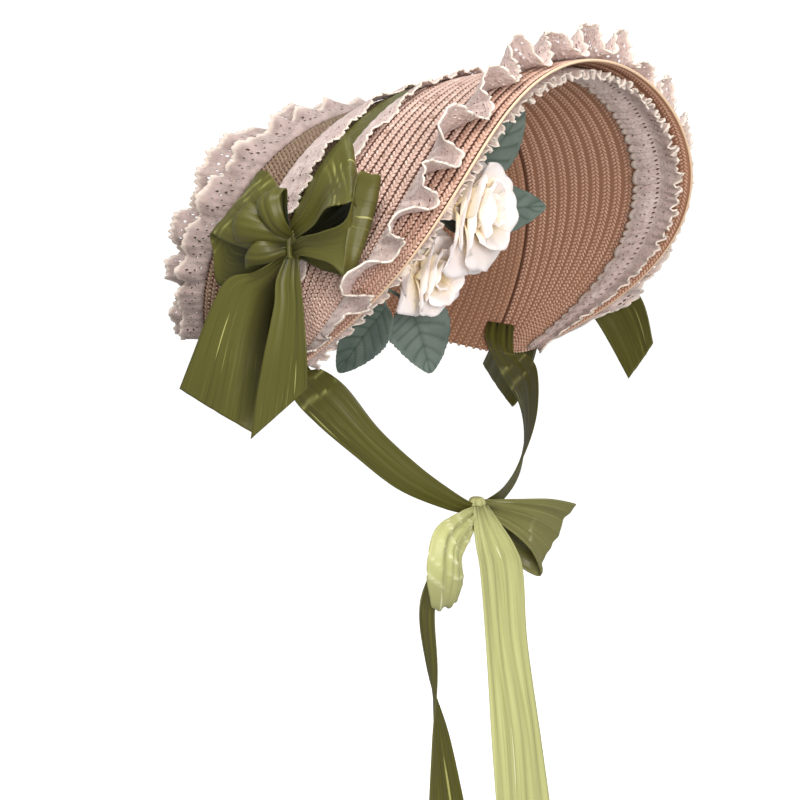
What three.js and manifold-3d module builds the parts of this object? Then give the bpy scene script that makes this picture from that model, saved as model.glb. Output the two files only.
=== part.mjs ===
// Straw bonnet with lace frills, ribbon bows, fabric flowers and chin ties.
// Millimetres, +Z up, front of the bonnet towards -Y, the wearer's left towards +X.
// Every row below is measured from the level of the brim's two lower corners;
// the whole bonnet is then moved so that its origin is the place where the crown sits.

import * as THREE from 'three';
import { mergeVertices } from 'three/addons/utils/BufferGeometryUtils.js';
import Module from 'manifold-3d';

const wasm = await Module();
wasm.setup();

// Driving dimensions
const STRAW = 2;            // thickness of the sewn straw plait
const LACE = 1;             // thickness of a lace strip with its thread
const RIBBON = 1;           // thickness of the satin ribbon
const GAP = 0.35;           // clearance between pieces that touch
const SEAT_ALONG = 0.16;    // the place inside the crown's top that holds the bonnet up
const BACK_SEWN = 0.02;     // where the back frill is sewn on

// How far down the sides each trim runs, as a share of the whole arch.
const REACH = { band: 0.995, frill: 0.99, ruffle: 0.985 };

// One arch of the straw wall in each row, from the back of the crown to the front of the brim.
// along: place on the wall; topY, topZ: highest point; lowY, lowZ: lower corners;
// wide: greatest half width; low: half width at the corners; lean: how the arch leans back.
const ARCHES = [
  { along: 0.00, topY: 52, topZ: 164, lowY: 120, lowZ: 10, wide: 110, low: 94, lean: 0.85 },
  { along: 0.30, topY: -18, topZ: 181, lowY: 36, lowZ: -4, wide: 119, low: 108, lean: 1.2 },
  { along: 0.65, topY: -86, topZ: 190, lowY: 14, lowZ: -4, wide: 126, low: 114, lean: 2.2 },
  { along: 1.00, topY: -146, topZ: 194, lowY: 0, lowZ: 0, wide: 131, low: 120, lean: 2.8 },
];
const BAND_ALONG = 0.30;
const SEAM_SHARE = 0.0012;  // half of the gap where crown and brim meet, as a share of the wall

// The crown's domed tip: its plait rows close on a short upright seam low at the back.
const TIP = {
  seamY: 102,
  seamTop: 64,
  seamLow: 28,
  dome: 17,                 // how far the tip bulges past the rows' own edge
  bulge: [0, 0.92, 0.38],   // the way it bulges
  steps: [0.06, 0.25, 0.55, 1],
};
const ARCH_COLUMNS = 26;

// Lace strips along the wall: from and to are places on the wall, out is the height above it.
const BAND = { from: 0.256, to: 0.352, out: (STRAW + RIBBON) / 2 + GAP };
const FRILLS = [
  { name: 'band_frill_back', sewn: 0.150, free: 0.262, out: 3.1, rise: 2.2, waves: 9 },
  { name: 'band_frill_front', sewn: 0.342, free: 0.430, out: 3.1, rise: 3.0, waves: 9 },
];
// low and high: the angles between which the ruffle's free edge turns; stiff: the share of
// that turn which it has where it is sewn; sway: how far its folds lean along the edge.
const RUFFLE = {
  sewn: 0.79, width: 29, waves: 9, lift: 0.8, low: 0.05, high: 0.72, stiff: 0.35, sway: 8,
};
// ahead: how far the facing peeps past the front edge; calm: the share of its ripple that
// stays at its middle row of stitches.
const FACING = { inner: 0.80, ahead: 5, out: -2.2, ruche: 1.5, calm: 0.35, ripples: 19 };

// The two tiers of the back frill: width and flare at the top, at the side and at the low end.
const BACK_OUTER = {
  waves: 13,
  wave: 6,
  rows: [{ width: 38, flare: 0.12 }, { width: 45, flare: 0.38 }, { width: 27, flare: -0.2 }],
};
const BACK_INNER = {
  waves: 11,
  wave: 2,
  rows: [{ width: 20, flare: 0.24 }, { width: 23, flare: 0.5 }, { width: 14, flare: 0.1 }],
};

// Ribbon rows: centre of the ribbon and half of its width as a direction.
// For the side bows forward, up and out are measured from the middle of the knot.
const SIDE_KNOT = { out: 131.8, forward: 6, up: 77 };
const SIDE_KNOT_SIZE = { forward: 7, up: 11.5, out: 7.5 };
const SIDE_RIBBONS = {
  loop_back: [
    { forward: -3, up: 3, out: 4, wf: -1, wu: 5, wo: 1, cup: 1 },
    { forward: -14, up: 8, out: 11, wf: 4, wu: 12, wo: -1, cup: 4 },
    { forward: -28, up: 18, out: 16, wf: 11, wu: 17, wo: -4, cup: 5 },
    { forward: -40, up: 28, out: 13, wf: 17, wu: 21, wo: -6, cup: 2 },
    { forward: -36, up: 25, out: 5, wf: 16, wu: 20, wo: -4, cup: -3 },
    { forward: -22, up: 14, out: 0, wf: 8, wu: 14, wo: -1, cup: -3 },
    { forward: -3, up: 2, out: -1, wf: -1, wu: 5, wo: 0, cup: 0 },
  ],
  loop_upper: [
    { forward: 3, up: 7, out: 3, wf: -4, wu: 2, wo: -1, cup: 1 },
    { forward: 13, up: 21, out: 9, wf: -9, wu: 8, wo: -6, cup: 3 },
    { forward: 30, up: 34, out: 9, wf: -13, wu: 15, wo: -10, cup: 4 },
    { forward: 50, up: 46, out: 2, wf: -13, wu: 20, wo: -13, cup: 2 },
    { forward: 60, up: 34, out: -8, wf: -6, wu: 12, wo: -7, cup: -3 },
    { forward: 46, up: 26, out: -9, wf: -8, wu: 10, wo: -5, cup: -3 },
    { forward: 22, up: 17, out: -5, wf: -8, wu: 7, wo: -2, cup: -1 },
    { forward: 3, up: 4, out: -2, wf: -3, wu: 4, wo: 0, cup: 0 },
  ],
  loop_front: [
    { forward: 4, up: -3, out: 4, wf: 2, wu: 4, wo: 2, cup: 1 },
    { forward: 18, up: -2, out: 14, wf: 4, wu: 10, wo: 3, cup: 4 },
    { forward: 38, up: 0, out: 20, wf: 3, wu: 17, wo: 2, cup: 6 },
    { forward: 58, up: 3, out: 15, wf: 2, wu: 24, wo: -6, cup: 3 },
    { forward: 57, up: 0, out: 4, wf: 2, wu: 22, wo: -3, cup: -4 },
    { forward: 36, up: -4, out: -2, wf: 2, wu: 14, wo: 0, cup: -4 },
    { forward: 16, up: -5, out: -3, wf: 1, wu: 8, wo: 0, cup: -1 },
    { forward: 3, up: -4, out: -2, wf: 1, wu: 4, wo: 0, cup: 0 },
  ],
  tail_back: [
    { forward: -3, up: -7, out: 3, wf: -3, wu: 1, wo: 2, cup: 0 },
    { forward: -13, up: -22, out: 8, wf: -10, wu: 4, wo: 4, cup: 2 },
    { forward: -29, up: -48, out: 12, wf: -19, wu: 9, wo: 8, cup: 3 },
    { forward: -44, up: -74, out: 12, wf: -22, wu: 12, wo: 10, cup: 2 },
    { forward: -59, up: -102, out: 10, wf: -23, wu: 13, wo: 10, cup: 1 },
  ],
  tail_front: [
    { forward: 1, up: -8, out: 5, wf: 6, wu: 0, wo: -1, cup: 2 },
    { forward: 3, up: -30, out: 14, wf: 9, wu: 1, wo: -2, cup: 3 },
    { forward: 3, up: -56, out: 17, wf: 13, wu: 4, wo: -4, cup: 4 },
    { forward: 1, up: -80, out: 16, wf: 19, wu: 11, wo: -5, cup: 3 },
    { forward: -3, up: -101, out: 14, wf: 22, wu: 16, wo: -5, cup: 1 },
  ],
  tail_far: [
    { forward: 1, up: -8, out: 3, wf: 4, wu: 3, wo: 1, cup: 1 },
    { forward: 16, up: -25, out: 12, wf: 10, wu: 7, wo: 2, cup: 2 },
    { forward: 42, up: -52, out: 22, wf: 15, wu: 13, wo: 2, cup: 3 },
    { forward: 60, up: -86, out: 23, wf: 10, wu: 13, wo: 1, cup: 1 },
  ],
};
const PUFF = { forward: -8, up: 14, out: 15, radius: 13, flat: 0.72, folds: 5, fold: 0.16, twist: 2 };

// The chin bow: side is towards the wearer's left, out is forwards, both from the knot's middle.
const CHIN_KNOT = { x: -5, y: -51, z: -101 };
const CHIN_KNOT_SIZE = { side: 8, up: 10, out: 8 };
const CHIN_RIBBONS = {
  chin_loop_right: [
    { side: -3, up: 0, out: 4, ws: -1, wu: 5, wo: 1, cup: 1 },
    { side: -14, up: -12, out: 9, ws: 9, wu: 8, wo: 2, cup: 3 },
    { side: -28, up: -34, out: 9, ws: 15, wu: 5, wo: 4, cup: 6 },
    { side: -37, up: -55, out: 3, ws: 13, wu: -1, wo: 4, cup: 3 },
    { side: -31, up: -44, out: -6, ws: 14, wu: 3, wo: 2, cup: -4 },
    { side: -20, up: -20, out: -7, ws: 11, wu: 7, wo: 0, cup: -3 },
    { side: -3, up: -2, out: -3, ws: -1, wu: 4, wo: 0, cup: 0 },
  ],
  chin_loop_left: [
    { side: 3, up: 2, out: 4, ws: 1, wu: 5, wo: 0, cup: 1 },
    { side: 20, up: -3, out: 13, ws: 5, wu: 9, wo: 1, cup: 3 },
    { side: 42, up: -12, out: 20, ws: 11, wu: 16, wo: 0, cup: 4 },
    { side: 63, up: -24, out: 18, ws: 19, wu: 22, wo: 0, cup: 2 },
    { side: 56, up: -20, out: 8, ws: 17, wu: 19, wo: 0, cup: -4 },
    { side: 32, up: -9, out: 0, ws: 8, wu: 12, wo: 0, cup: -3 },
    { side: 3, up: 0, out: -2, ws: 1, wu: 4, wo: 0, cup: 0 },
  ],
  chin_tail_front: [
    { side: 3, up: -5, out: 6, ws: 7, wu: 0, wo: 0, cup: 2 },
    { side: 9, up: -24, out: 14, ws: 14, wu: -1, wo: 0, cup: 3 },
    { side: 14, up: -45, out: 15, ws: 20, wu: -2, wo: 1, cup: 3 },
    { side: 14, up: -95, out: 18, ws: 21, wu: -2, wo: 1, cup: 2 },
    { side: 15, up: -150, out: 23, ws: 23, wu: -3, wo: 1, cup: -2 },
    { side: 18, up: -212, out: 31, ws: 27, wu: -12, wo: 2, cup: 1 },
  ],
  chin_tail_rear: [
    { side: -2, up: -5, out: -4, ws: 4, wu: -2, wo: -2, cup: 0 },
    { side: -16, up: -30, out: -13, ws: 7, wu: 3, wo: -6, cup: 1 },
    { side: -33, up: -62, out: -14, ws: 4, wu: 1, wo: -10, cup: 1 },
    { side: -35, up: -105, out: -8, ws: 5, wu: 0, wo: -9, cup: 1 },
    { side: -32, up: -150, out: -3, ws: 13, wu: -2, wo: -4, cup: 2 },
    { side: -28, up: -208, out: 1, ws: 21, wu: -10, wo: 0, cup: 1 },
  ],
};

// The ties: from the inside of the lower corners in one loop to the chin knot.
const TIE = [
  { side: 110.1, back: 26, up: 16, ws: 1, wb: 13, wu: 1, cup: 0 },
  { side: 104.5, back: 22, up: 0, ws: 1, wb: 14, wu: 4, cup: 0 },
  { side: 105, back: 9, up: -13, ws: 2, wb: 12, wu: -9, cup: 1 },
  { side: 100, back: -8, up: -27, ws: 3, wb: 11, wu: -12, cup: 2 },
  { side: 84, back: -24, up: -51, ws: 4, wb: 9, wu: -8, cup: 2 },
  { side: 58, back: -38, up: -76, ws: 5, wb: 6, wu: -7, cup: 2 },
  { side: 28, back: -47, up: -93, ws: 3, wb: 3, wu: -5, cup: 1 },
  { side: 5, back: -51, up: -100, ws: 0, wb: 1, wu: -4, cup: 0 },
];

// Flowers: the seat on the wall, the way the bloom faces, and its rings of petals.
const FLOWERS = [
  { name: 'flower_upper', across: -0.60, along: 0.93, faces: [0.15, -0.98, 0.05], size: 1.12 },
  { name: 'flower_lower', across: -0.75, along: 0.93, faces: [-0.05, -0.97, -0.2], size: 0.86 },
];
const CALYX = { radius: 7, taper: 0.7, tall: 19, sides: 8 };
const BUD = { radius: 8, tall: 15, ahead: 7 };
const BLOOM_SET = { back: 3, ahead: 2 };    // how the petals sit on the calyx

// open: angle of the ring from the bloom's axis; long: one petal; rise: start of the ring on the
// axis; clear: how far the ring keeps off the wall; turn: angle of the first petal.
const PETAL_RINGS = [
  { petals: 6, open: 80, long: 33, rise: 0, clear: 3.4, turn: 10 },
  { petals: 5, open: 52, long: 26, rise: 5, clear: 9, turn: 40 },
];
const PETAL_COLUMNS = 4;
const PETAL_NOTCH = 0.3;    // how deep the ring is cut between two petals
const PETAL_ROUND = 0.5;    // below 1 makes the petals' ends broad
const PETAL_CURL = { from: 0.72, more: 0.38 };    // the ring opens wider towards its edge
const PETAL_HEEL = 3;       // radius of the ring's foot, and the rise of its notches
const WALL_BEND = 200;      // how soon the wall curves up beside a seat

// The lace inside the front edge is this much lower than the straw where a seat meets it.
const LACE_CREST = 5;
const BLADE = { stalk: 0.5, full: 0.8, fold: 0.15 };

// Leaves: where the stalk sits on the wall, then three places along the blade's midrib.
const LEAVES = [
  {
    name: 'leaf_upper', across: -0.53, along: 0.76, wide: 14, faces: [-0.6, -0.8, 0],
    midrib: [[-84, -90, 114], [-48, -101, 137], [-30, -111, 165]],
  },
  {
    name: 'leaf_middle', across: -0.60, along: 0.76, wide: 18, faces: [-0.5, -0.85, 0.1],
    midrib: [[-96, -97, 97], [-62, -111, 100], [-28, -128, 102]],
  },
  {
    name: 'leaf_lower', across: -0.80, along: 0.94, wide: 20, faces: [-0.6, -0.8, 0],
    midrib: [[-101, -73, 43], [-91, -77, 24], [-87, -83, -3]],
  },
  {
    name: 'leaf_left', across: -0.82, along: 0.88, wide: 15, faces: [-0.85, -0.5, 0.1],
    midrib: [[-115, -70, 40], [-114, -51, 21], [-111, -25, -4]],
  },
];

const COLOURS = {
  straw: 0xbe9b80,
  ribbon: 0x7a7f3e,
  lace: 0xe3d3cc,
  petal: 0xf6edd8,
  leaf: 0x6b8578,
};
const ROUGHNESS = { straw: 0.8, ribbon: 0.42, lace: 0.9, petal: 0.85, leaf: 0.75 };

function finish(kind) {
  return new THREE.MeshStandardMaterial({
    color: COLOURS[kind],
    roughness: ROUGHNESS[kind],
    metalness: 0,
  });
}

function vector(values) {
  return new THREE.Vector3(values[0], values[1], values[2]);
}

// A smooth curve through equally important rows: one named column at a place between two rows.
function between(rows, index, share, column) {
  const last = rows.length - 1;
  const value = (k) => rows[Math.min(Math.max(k, 0), last)][column];
  const leave = (value(index + 1) - value(index - 1)) / 2;
  const arrive = (value(index + 2) - value(index)) / 2;
  const square = share * share;
  const cube = square * share;
  return (2 * cube - 3 * square + 1) * value(index)
    + (cube - 2 * square + share) * leave
    + (3 * square - 2 * cube) * value(index + 1)
    + (cube - square) * arrive;
}

// The straw wall

function archAt(along) {
  let index = 0;
  while (index < ARCHES.length - 2 && along > ARCHES[index + 1].along) {
    index += 1;
  }
  const here = ARCHES[index];
  const next = ARCHES[index + 1];
  const span = next.along - here.along;
  const share = (along - here.along) / span;
  const square = share * share;
  const cube = square * share;
  const slope = (k, column) => {
    const low = ARCHES[Math.max(k - 1, 0)];
    const high = ARCHES[Math.min(k + 1, ARCHES.length - 1)];
    return (high[column] - low[column]) / (high.along - low.along);
  };
  const arch = {};
  for (const column of ['topY', 'topZ', 'lowY', 'lowZ', 'wide', 'low', 'lean']) {
    arch[column] = (2 * cube - 3 * square + 1) * here[column]
      + (cube - 2 * square + share) * slope(index, column) * span
      + (3 * square - 2 * cube) * next[column]
      + (cube - square) * slope(index + 1, column) * span;
  }
  return arch;
}

// across runs from -1, the right lower corner, over the top at 0 to 1, the left lower corner.
function wallMiddle(across, along) {
  const arch = archAt(Math.min(Math.max(along, 0), 1));
  const reach = Math.PI - Math.asin(arch.low / arch.wide);
  const angle = Math.abs(across) * reach;
  const radius = (arch.topZ - arch.lowZ) / (1 - Math.cos(reach));
  const z = arch.topZ - radius + radius * Math.cos(angle);
  const drop = Math.max(arch.topZ - z, 0) / (arch.topZ - arch.lowZ);
  const y = arch.topY + (arch.lowY - arch.topY) * drop ** arch.lean;
  return new THREE.Vector3(Math.sign(across) * arch.wide * Math.sin(angle), y, z);
}

const NEAR = 0.001;         // step by which the wall's directions are found

// The directions of the wall at one place: to the front, to the wearer's left and outwards.
function wallFrame(across, along) {
  const inside = Math.min(Math.max(along, NEAR), 1 - NEAR);
  const ahead = wallMiddle(across, inside + NEAR).sub(wallMiddle(across, inside - NEAR)).normalize();
  const left = wallMiddle(across + NEAR, inside).sub(wallMiddle(across - NEAR, inside)).normalize();
  const out = new THREE.Vector3().crossVectors(ahead, left).normalize();
  return { ahead, left, out };
}

function wall(across, along, out, ahead = 0) {
  const frame = wallFrame(across, along);
  return wallMiddle(across, along)
    .addScaledVector(frame.out, out)
    .addScaledVector(frame.ahead, ahead);
}

// Closed solids from a grid of points on the middle of a sheet

function gridNormals(grid, ring) {
  const rows = grid.length;
  const columns = grid[0].length;
  return grid.map((row, r) => row.map((point, c) => {
    const next = ring ? (c % (columns - 1)) + 1 : Math.min(c + 1, columns - 1);
    const before = ring && c === 0 ? columns - 2 : Math.max(c - 1, 0);
    const right = grid[r][next].clone().sub(grid[r][before]);
    const down = grid[Math.min(r + 1, rows - 1)][c].clone().sub(grid[Math.max(r - 1, 0)][c]);
    const normal = right.cross(down);
    if (Math.abs(point.x) < 1e-6) {
      normal.x = 0;
    }
    return normal.normalize();
  }));
}

// open lists the edges that get a rim; a seam that closes on itself gets none,
// and a ring has its first column again as its last.
function sheet(grid, thickness, open = ['first', 'last', 'start', 'end']) {
  const rows = grid.length;
  const columns = grid[0].length;
  const normals = gridNormals(grid, !open.includes('start'));
  const positions = [];
  for (const side of [0.5, -0.5]) {
    for (let r = 0; r < rows; r += 1) {
      for (let c = 0; c < columns; c += 1) {
        const point = grid[r][c].clone().addScaledVector(normals[r][c], side * thickness);
        positions.push(point.x, point.y, point.z);
      }
    }
  }
  const top = (r, c) => r * columns + c;
  const under = (r, c) => rows * columns + r * columns + c;
  const faces = [];
  for (let r = 0; r < rows - 1; r += 1) {
    for (let c = 0; c < columns - 1; c += 1) {
      faces.push(top(r, c), top(r, c + 1), top(r + 1, c + 1));
      faces.push(top(r, c), top(r + 1, c + 1), top(r + 1, c));
      faces.push(under(r, c), under(r + 1, c + 1), under(r, c + 1));
      faces.push(under(r, c), under(r + 1, c), under(r + 1, c + 1));
    }
  }
  const rim = (r1, c1, r2, c2) => {
    faces.push(top(r1, c1), top(r2, c2), under(r2, c2));
    faces.push(top(r1, c1), under(r2, c2), under(r1, c1));
  };
  for (let c = 0; c < columns - 1; c += 1) {
    if (open.includes('first')) {
      rim(0, c + 1, 0, c);
    }
    if (open.includes('last')) {
      rim(rows - 1, c, rows - 1, c + 1);
    }
  }
  for (let r = 0; r < rows - 1; r += 1) {
    if (open.includes('start')) {
      rim(r, 0, r + 1, 0);
    }
    if (open.includes('end')) {
      rim(r + 1, columns - 1, r, columns - 1);
    }
  }
  const geometry = new THREE.BufferGeometry();
  geometry.setAttribute('position', new THREE.Float32BufferAttribute(positions, 3));
  geometry.setIndex(faces);
  return geometry;
}

// A grid whose columns run over the arch and whose rows run along the wall.
function archGrid(columns, alongs, place) {
  return alongs.map((along) => {
    const row = [];
    for (let c = 0; c <= columns; c += 1) {
      row.push(place(-1 + (2 * c) / columns, along));
    }
    return row;
  });
}

function steps(from, to, count) {
  return Array.from({ length: count + 1 }, (unused, k) => from + ((to - from) * k) / count);
}

// Booleans

function toSolid(geometry) {
  const merged = geometry.clone();
  merged.deleteAttribute('normal');
  merged.deleteAttribute('uv');
  const welded = mergeVertices(merged, 1e-4);
  return new wasm.Manifold(new wasm.Mesh({
    numProp: 3,
    vertProperties: new Float32Array(welded.attributes.position.array),
    triVerts: new Uint32Array(welded.index.array),
  }));
}

function toGeometry(solid) {
  const mesh = solid.getMesh();
  const geometry = new THREE.BufferGeometry();
  geometry.setAttribute('position', new THREE.Float32BufferAttribute(mesh.vertProperties, 3));
  geometry.setIndex(Array.from(mesh.triVerts));
  return geometry;
}

function largest(solid) {
  const bodies = solid.decompose();
  return bodies.reduce((best, body) => (body.volume() > best.volume() ? body : best));
}

function cutBy(geometry, cutters) {
  const solid = cutters.reduce((left, cutter) => left.subtract(toSolid(cutter)), toSolid(geometry));
  return toGeometry(largest(solid));
}

// Ribbons: a sheet swept along its rows, each row with a centre and half a width.
// place turns a row's own columns into a point.

const RIBBON_STEPS = 2;

function ribbonGrid(rows, place, centre, half, grow = 0) {
  const columns = 3;
  const perRow = RIBBON_STEPS;
  const grid = [];
  const last = (rows.length - 1) * perRow;
  for (let k = 0; k <= last; k += 1) {
    const index = Math.min(Math.floor(k / perRow), rows.length - 2);
    const share = k / perRow - index;
    const column = (name) => between(rows, index, share, name);
    const middle = place(...centre.map(column));
    const edge = place(...half.map(column)).sub(place(0, 0, 0));
    if (grow > 0) {
      edge.setLength(edge.length() + grow);
    }
    grid.push({ middle, edge, cup: column('cup') });
  }
  return grid.map((row, k) => {
    const before = grid[Math.max(k - 1, 0)].middle;
    const after = grid[Math.min(k + 1, last)].middle;
    const bulge = row.edge.clone().cross(after.clone().sub(before)).normalize();
    return Array.from({ length: columns + 1 }, (unused, c) => {
      const across = -1 + (2 * c) / columns;
      return row.middle.clone()
        .addScaledVector(row.edge, across)
        .addScaledVector(bulge, row.cup * (1 - across * across));
    });
  });
}

// A knot: a rounded barrel whose middle is pulled in by the ribbon that wraps it.
function knot(centre, size, grow = 0) {
  const geometry = new THREE.SphereGeometry(1, 9, 6);
  const position = geometry.attributes.position;
  for (let k = 0; k < position.count; k += 1) {
    const y = position.getY(k);
    const pull = 1 - 0.12 * (1 - y * y);
    position.setXYZ(
      k,
      position.getX(k) * (size[0] * pull + grow) + centre.x,
      position.getZ(k) * (size[1] * pull + grow) + centre.y,
      -y * (size[2] + grow) + centre.z,
    );
  }
  geometry.deleteAttribute('normal');
  geometry.deleteAttribute('uv');
  return mergeVertices(geometry, 1e-4);
}

// Crown: side wall and domed tip in one piece, closed at the back along the seam

function crown() {
  const alongs = [BAND_ALONG - SEAM_SHARE, 0.2, 0.1, 0];
  const side = archGrid(ARCH_COLUMNS, alongs, wallMiddle);
  const push = vector(TIP.bulge);
  for (const step of TIP.steps) {
    side.push(side[3].map((edge, c) => {
      const across = -1 + (2 * c) / ARCH_COLUMNS;
      const seamZ = TIP.seamTop + (TIP.seamLow - TIP.seamTop) * across * across;
      const seam = new THREE.Vector3(0, TIP.seamY, seamZ);
      return edge.clone().lerp(seam, step)
        .addScaledVector(push, TIP.dome * Math.sin((step * Math.PI) / 2));
    }));
  }
  return sheet(side, STRAW, ['first', 'start', 'end']);
}

function brim() {
  const alongs = steps(BAND_ALONG + SEAM_SHARE, 1, 4);
  return sheet(archGrid(ARCH_COLUMNS, alongs, wallMiddle), STRAW);
}

function crownBand() {
  const place = (across, along) => wall(across * REACH.band, along, BAND.out);
  return sheet(archGrid(ARCH_COLUMNS, [BAND.from, BAND.to], place), RIBBON);
}

// A frill beside the band: flat where it is sewn, waved at its free edge.
function bandFrill(frill) {
  const columns = frill.waves * 4;
  const rows = steps(0, 1, 1).map((share) => {
    const along = frill.sewn + (frill.free - frill.sewn) * share;
    const row = [];
    for (let c = 0; c <= columns; c += 1) {
      const across = (-1 + (2 * c) / columns) * REACH.frill;
      const wave = 1 - Math.cos((2 * Math.PI * c) / 4);
      row.push(wall(across, along, frill.out + frill.rise * wave * share));
    }
    return row;
  });
  return sheet(rows, LACE);
}

// Ruffle outside the brim: the free edge turns between lying forwards and standing up.
function ruffle() {
  const perWave = 8;
  const columns = RUFFLE.waves * perWave;
  const rows = steps(0, 1, 2).map((share) => {
    const row = [];
    for (let c = 0; c <= columns; c += 1) {
      const across = (-1 + (2 * c) / columns) * REACH.ruffle;
      const phase = (2 * Math.PI * c) / perWave;
      const frame = wallFrame(across, RUFFLE.sewn);
      const opened = (0.5 - 0.5 * Math.cos(phase)) * (RUFFLE.stiff + (1 - RUFFLE.stiff) * share);
      const turn = RUFFLE.low + (RUFFLE.high - RUFFLE.low) * opened;
      row.push(wall(across, RUFFLE.sewn, (STRAW + LACE) / 2 + GAP + RUFFLE.lift)
        .addScaledVector(frame.ahead, RUFFLE.width * share * Math.cos(turn))
        .addScaledVector(frame.out, RUFFLE.width * share * Math.sin(turn))
        .addScaledVector(frame.left, RUFFLE.sway * share * Math.sin(phase)));
    }
    return row;
  });
  return sheet(rows, LACE);
}

// Facing inside the front edge: ruched along its middle, frilled at both edges.
function facing() {
  const columns = FACING.ripples * 4;
  const rows = steps(0, 1, 2).map((share) => {
    const row = [];
    for (let c = 0; c <= columns; c += 1) {
      const across = (-1 + (2 * c) / columns) * REACH.frill;
      const loose = FACING.calm + (1 - FACING.calm) * Math.abs(2 * share - 1);
      const ripple = Math.cos((2 * Math.PI * c) / 4) * loose;
      const along = FACING.inner + (1 - FACING.inner) * share;
      const ahead = share === 1 ? FACING.ahead : 0;
      row.push(wall(across, along, FACING.out - FACING.ruche * (1 + ripple), ahead));
    }
    return row;
  });
  return sheet(rows, LACE);
}

// A tier of the back frill: sewn round the crown's back edge, flaring backwards and out.
function backFrill(tier, start) {
  const perWave = 4;
  const columns = tier.waves * perWave;
  const rows = steps(0, 1, 2).map((share) => {
    const row = [];
    for (let c = 0; c <= columns; c += 1) {
      const across = (-1 + (2 * c) / columns) * REACH.ruffle;
      const wave = Math.cos((2 * Math.PI * c) / perWave);
      const frame = wallFrame(across, BACK_SEWN);
      const place = Math.abs(across) * 1.999;
      const width = between(tier.rows, Math.floor(place), place % 1, 'width') * share;
      const turn = between(tier.rows, Math.floor(place), place % 1, 'flare') * (0.3 + 0.7 * share);
      row.push(wall(across, BACK_SEWN, start)
        .addScaledVector(frame.ahead, -width * Math.cos(turn))
        .addScaledVector(frame.out, width * Math.sin(turn) + tier.wave * (1 + wave) * share * share));
    }
    return row;
  });
  return sheet(rows, LACE);
}

// Side bows: side is -1 on the wearer's right and 1 on the left

function sideKnotCentre(side) {
  return new THREE.Vector3(side * SIDE_KNOT.out, -SIDE_KNOT.forward, SIDE_KNOT.up);
}

function sidePlace(side) {
  const centre = sideKnotCentre(side);
  return (forward, up, out) => new THREE.Vector3(side * out, -forward, up).add(centre);
}

function sideKnot(side, grow = 0) {
  const size = [SIDE_KNOT_SIZE.out, SIDE_KNOT_SIZE.forward, SIDE_KNOT_SIZE.up];
  return knot(sideKnotCentre(side), size, grow);
}

function sideRibbon(side, rows, grow = 0) {
  const centre = ['forward', 'up', 'out'];
  const half = ['wf', 'wu', 'wo'];
  const grid = ribbonGrid(rows, sidePlace(side), centre, half, grow);
  return sheet(grid, RIBBON + 2 * grow);
}

function puff(side) {
  const geometry = new THREE.SphereGeometry(1, 13, 7);
  const centre = sidePlace(side)(PUFF.forward, PUFF.up, PUFF.out);
  const position = geometry.attributes.position;
  for (let k = 0; k < position.count; k += 1) {
    const point = new THREE.Vector3().fromBufferAttribute(position, k);
    const angle = Math.atan2(point.z, point.x);
    const ring = Math.hypot(point.x, point.z);
    const fold = 1 + PUFF.fold * ring * Math.cos(PUFF.folds * angle + PUFF.twist * point.y);
    point.set(side * point.y * PUFF.flat, point.x, point.z);
    point.multiplyScalar(PUFF.radius * fold).add(centre);
    position.setXYZ(k, point.x, point.y, point.z);
  }
  geometry.deleteAttribute('normal');
  geometry.deleteAttribute('uv');
  return mergeVertices(geometry, 1e-4);
}

// Chin bow

function chinPlace(side, up, out) {
  return new THREE.Vector3(CHIN_KNOT.x + side, CHIN_KNOT.y - out, CHIN_KNOT.z + up);
}

function chinKnot(grow = 0) {
  const size = [CHIN_KNOT_SIZE.side, CHIN_KNOT_SIZE.out, CHIN_KNOT_SIZE.up];
  return knot(chinPlace(0, 0, 0), size, grow);
}

function chinRibbon(rows, grow = 0) {
  const centre = ['side', 'up', 'out'];
  const grid = ribbonGrid(rows, chinPlace, centre, ['ws', 'wu', 'wo'], grow);
  return sheet(grid, RIBBON + 2 * grow);
}

function tie(side) {
  const rows = TIE.map((row) => ({ ...row, side: side * row.side, ws: side * row.ws }));
  rows[rows.length - 1].side += CHIN_KNOT.x;
  const place = (x, back, up) => new THREE.Vector3(x, back, up);
  const grid = ribbonGrid(rows, place, ['side', 'back', 'up'], ['ws', 'wb', 'wu']);
  return sheet(grid, RIBBON);
}

// Flowers and leaves inside the brim

// Keeps a point clear of the curved wall behind the seat of a flower or a leaf.
function offTheWall(point, seat, inward, clear) {
  const away = point.clone().sub(seat);
  const height = away.dot(inward);
  const spread = away.addScaledVector(inward, -height).lengthSq();
  const least = clear + spread / WALL_BEND;
  return height < least ? point.addScaledVector(inward, least - height) : point;
}

// One ring of petals as a lobed bowl round the bloom's axis.
function petalRing(seat, centre, inward, axis, ring, size) {
  const side = new THREE.Vector3(0, 0, 1).cross(axis).normalize();
  const up = axis.clone().cross(side);
  const open = THREE.MathUtils.degToRad(ring.open);
  const columns = ring.petals * PETAL_COLUMNS;
  const grid = steps(0, 1, 2).map((share) => steps(0, columns, columns).map((column) => {
    const angle = THREE.MathUtils.degToRad(ring.turn) + (2 * Math.PI * (column % columns)) / columns;
    const lobe = Math.abs(Math.cos((ring.petals * angle) / 2)) ** PETAL_ROUND;
    const curl = open * (PETAL_CURL.from + PETAL_CURL.more * share);
    const reach = ring.long * size * share * (1 - PETAL_NOTCH * (1 - lobe));
    const point = centre.clone()
      .addScaledVector(axis, ring.rise + reach * Math.cos(curl) + PETAL_HEEL * (1 - lobe) * share)
      .addScaledVector(side, (PETAL_HEEL + reach * Math.sin(curl)) * Math.cos(angle))
      .addScaledVector(up, (PETAL_HEEL + reach * Math.sin(curl)) * Math.sin(angle));
    return offTheWall(point, seat, inward, ring.clear);
  }));
  return sheet(grid, 1, ['first', 'last']);
}

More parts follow.
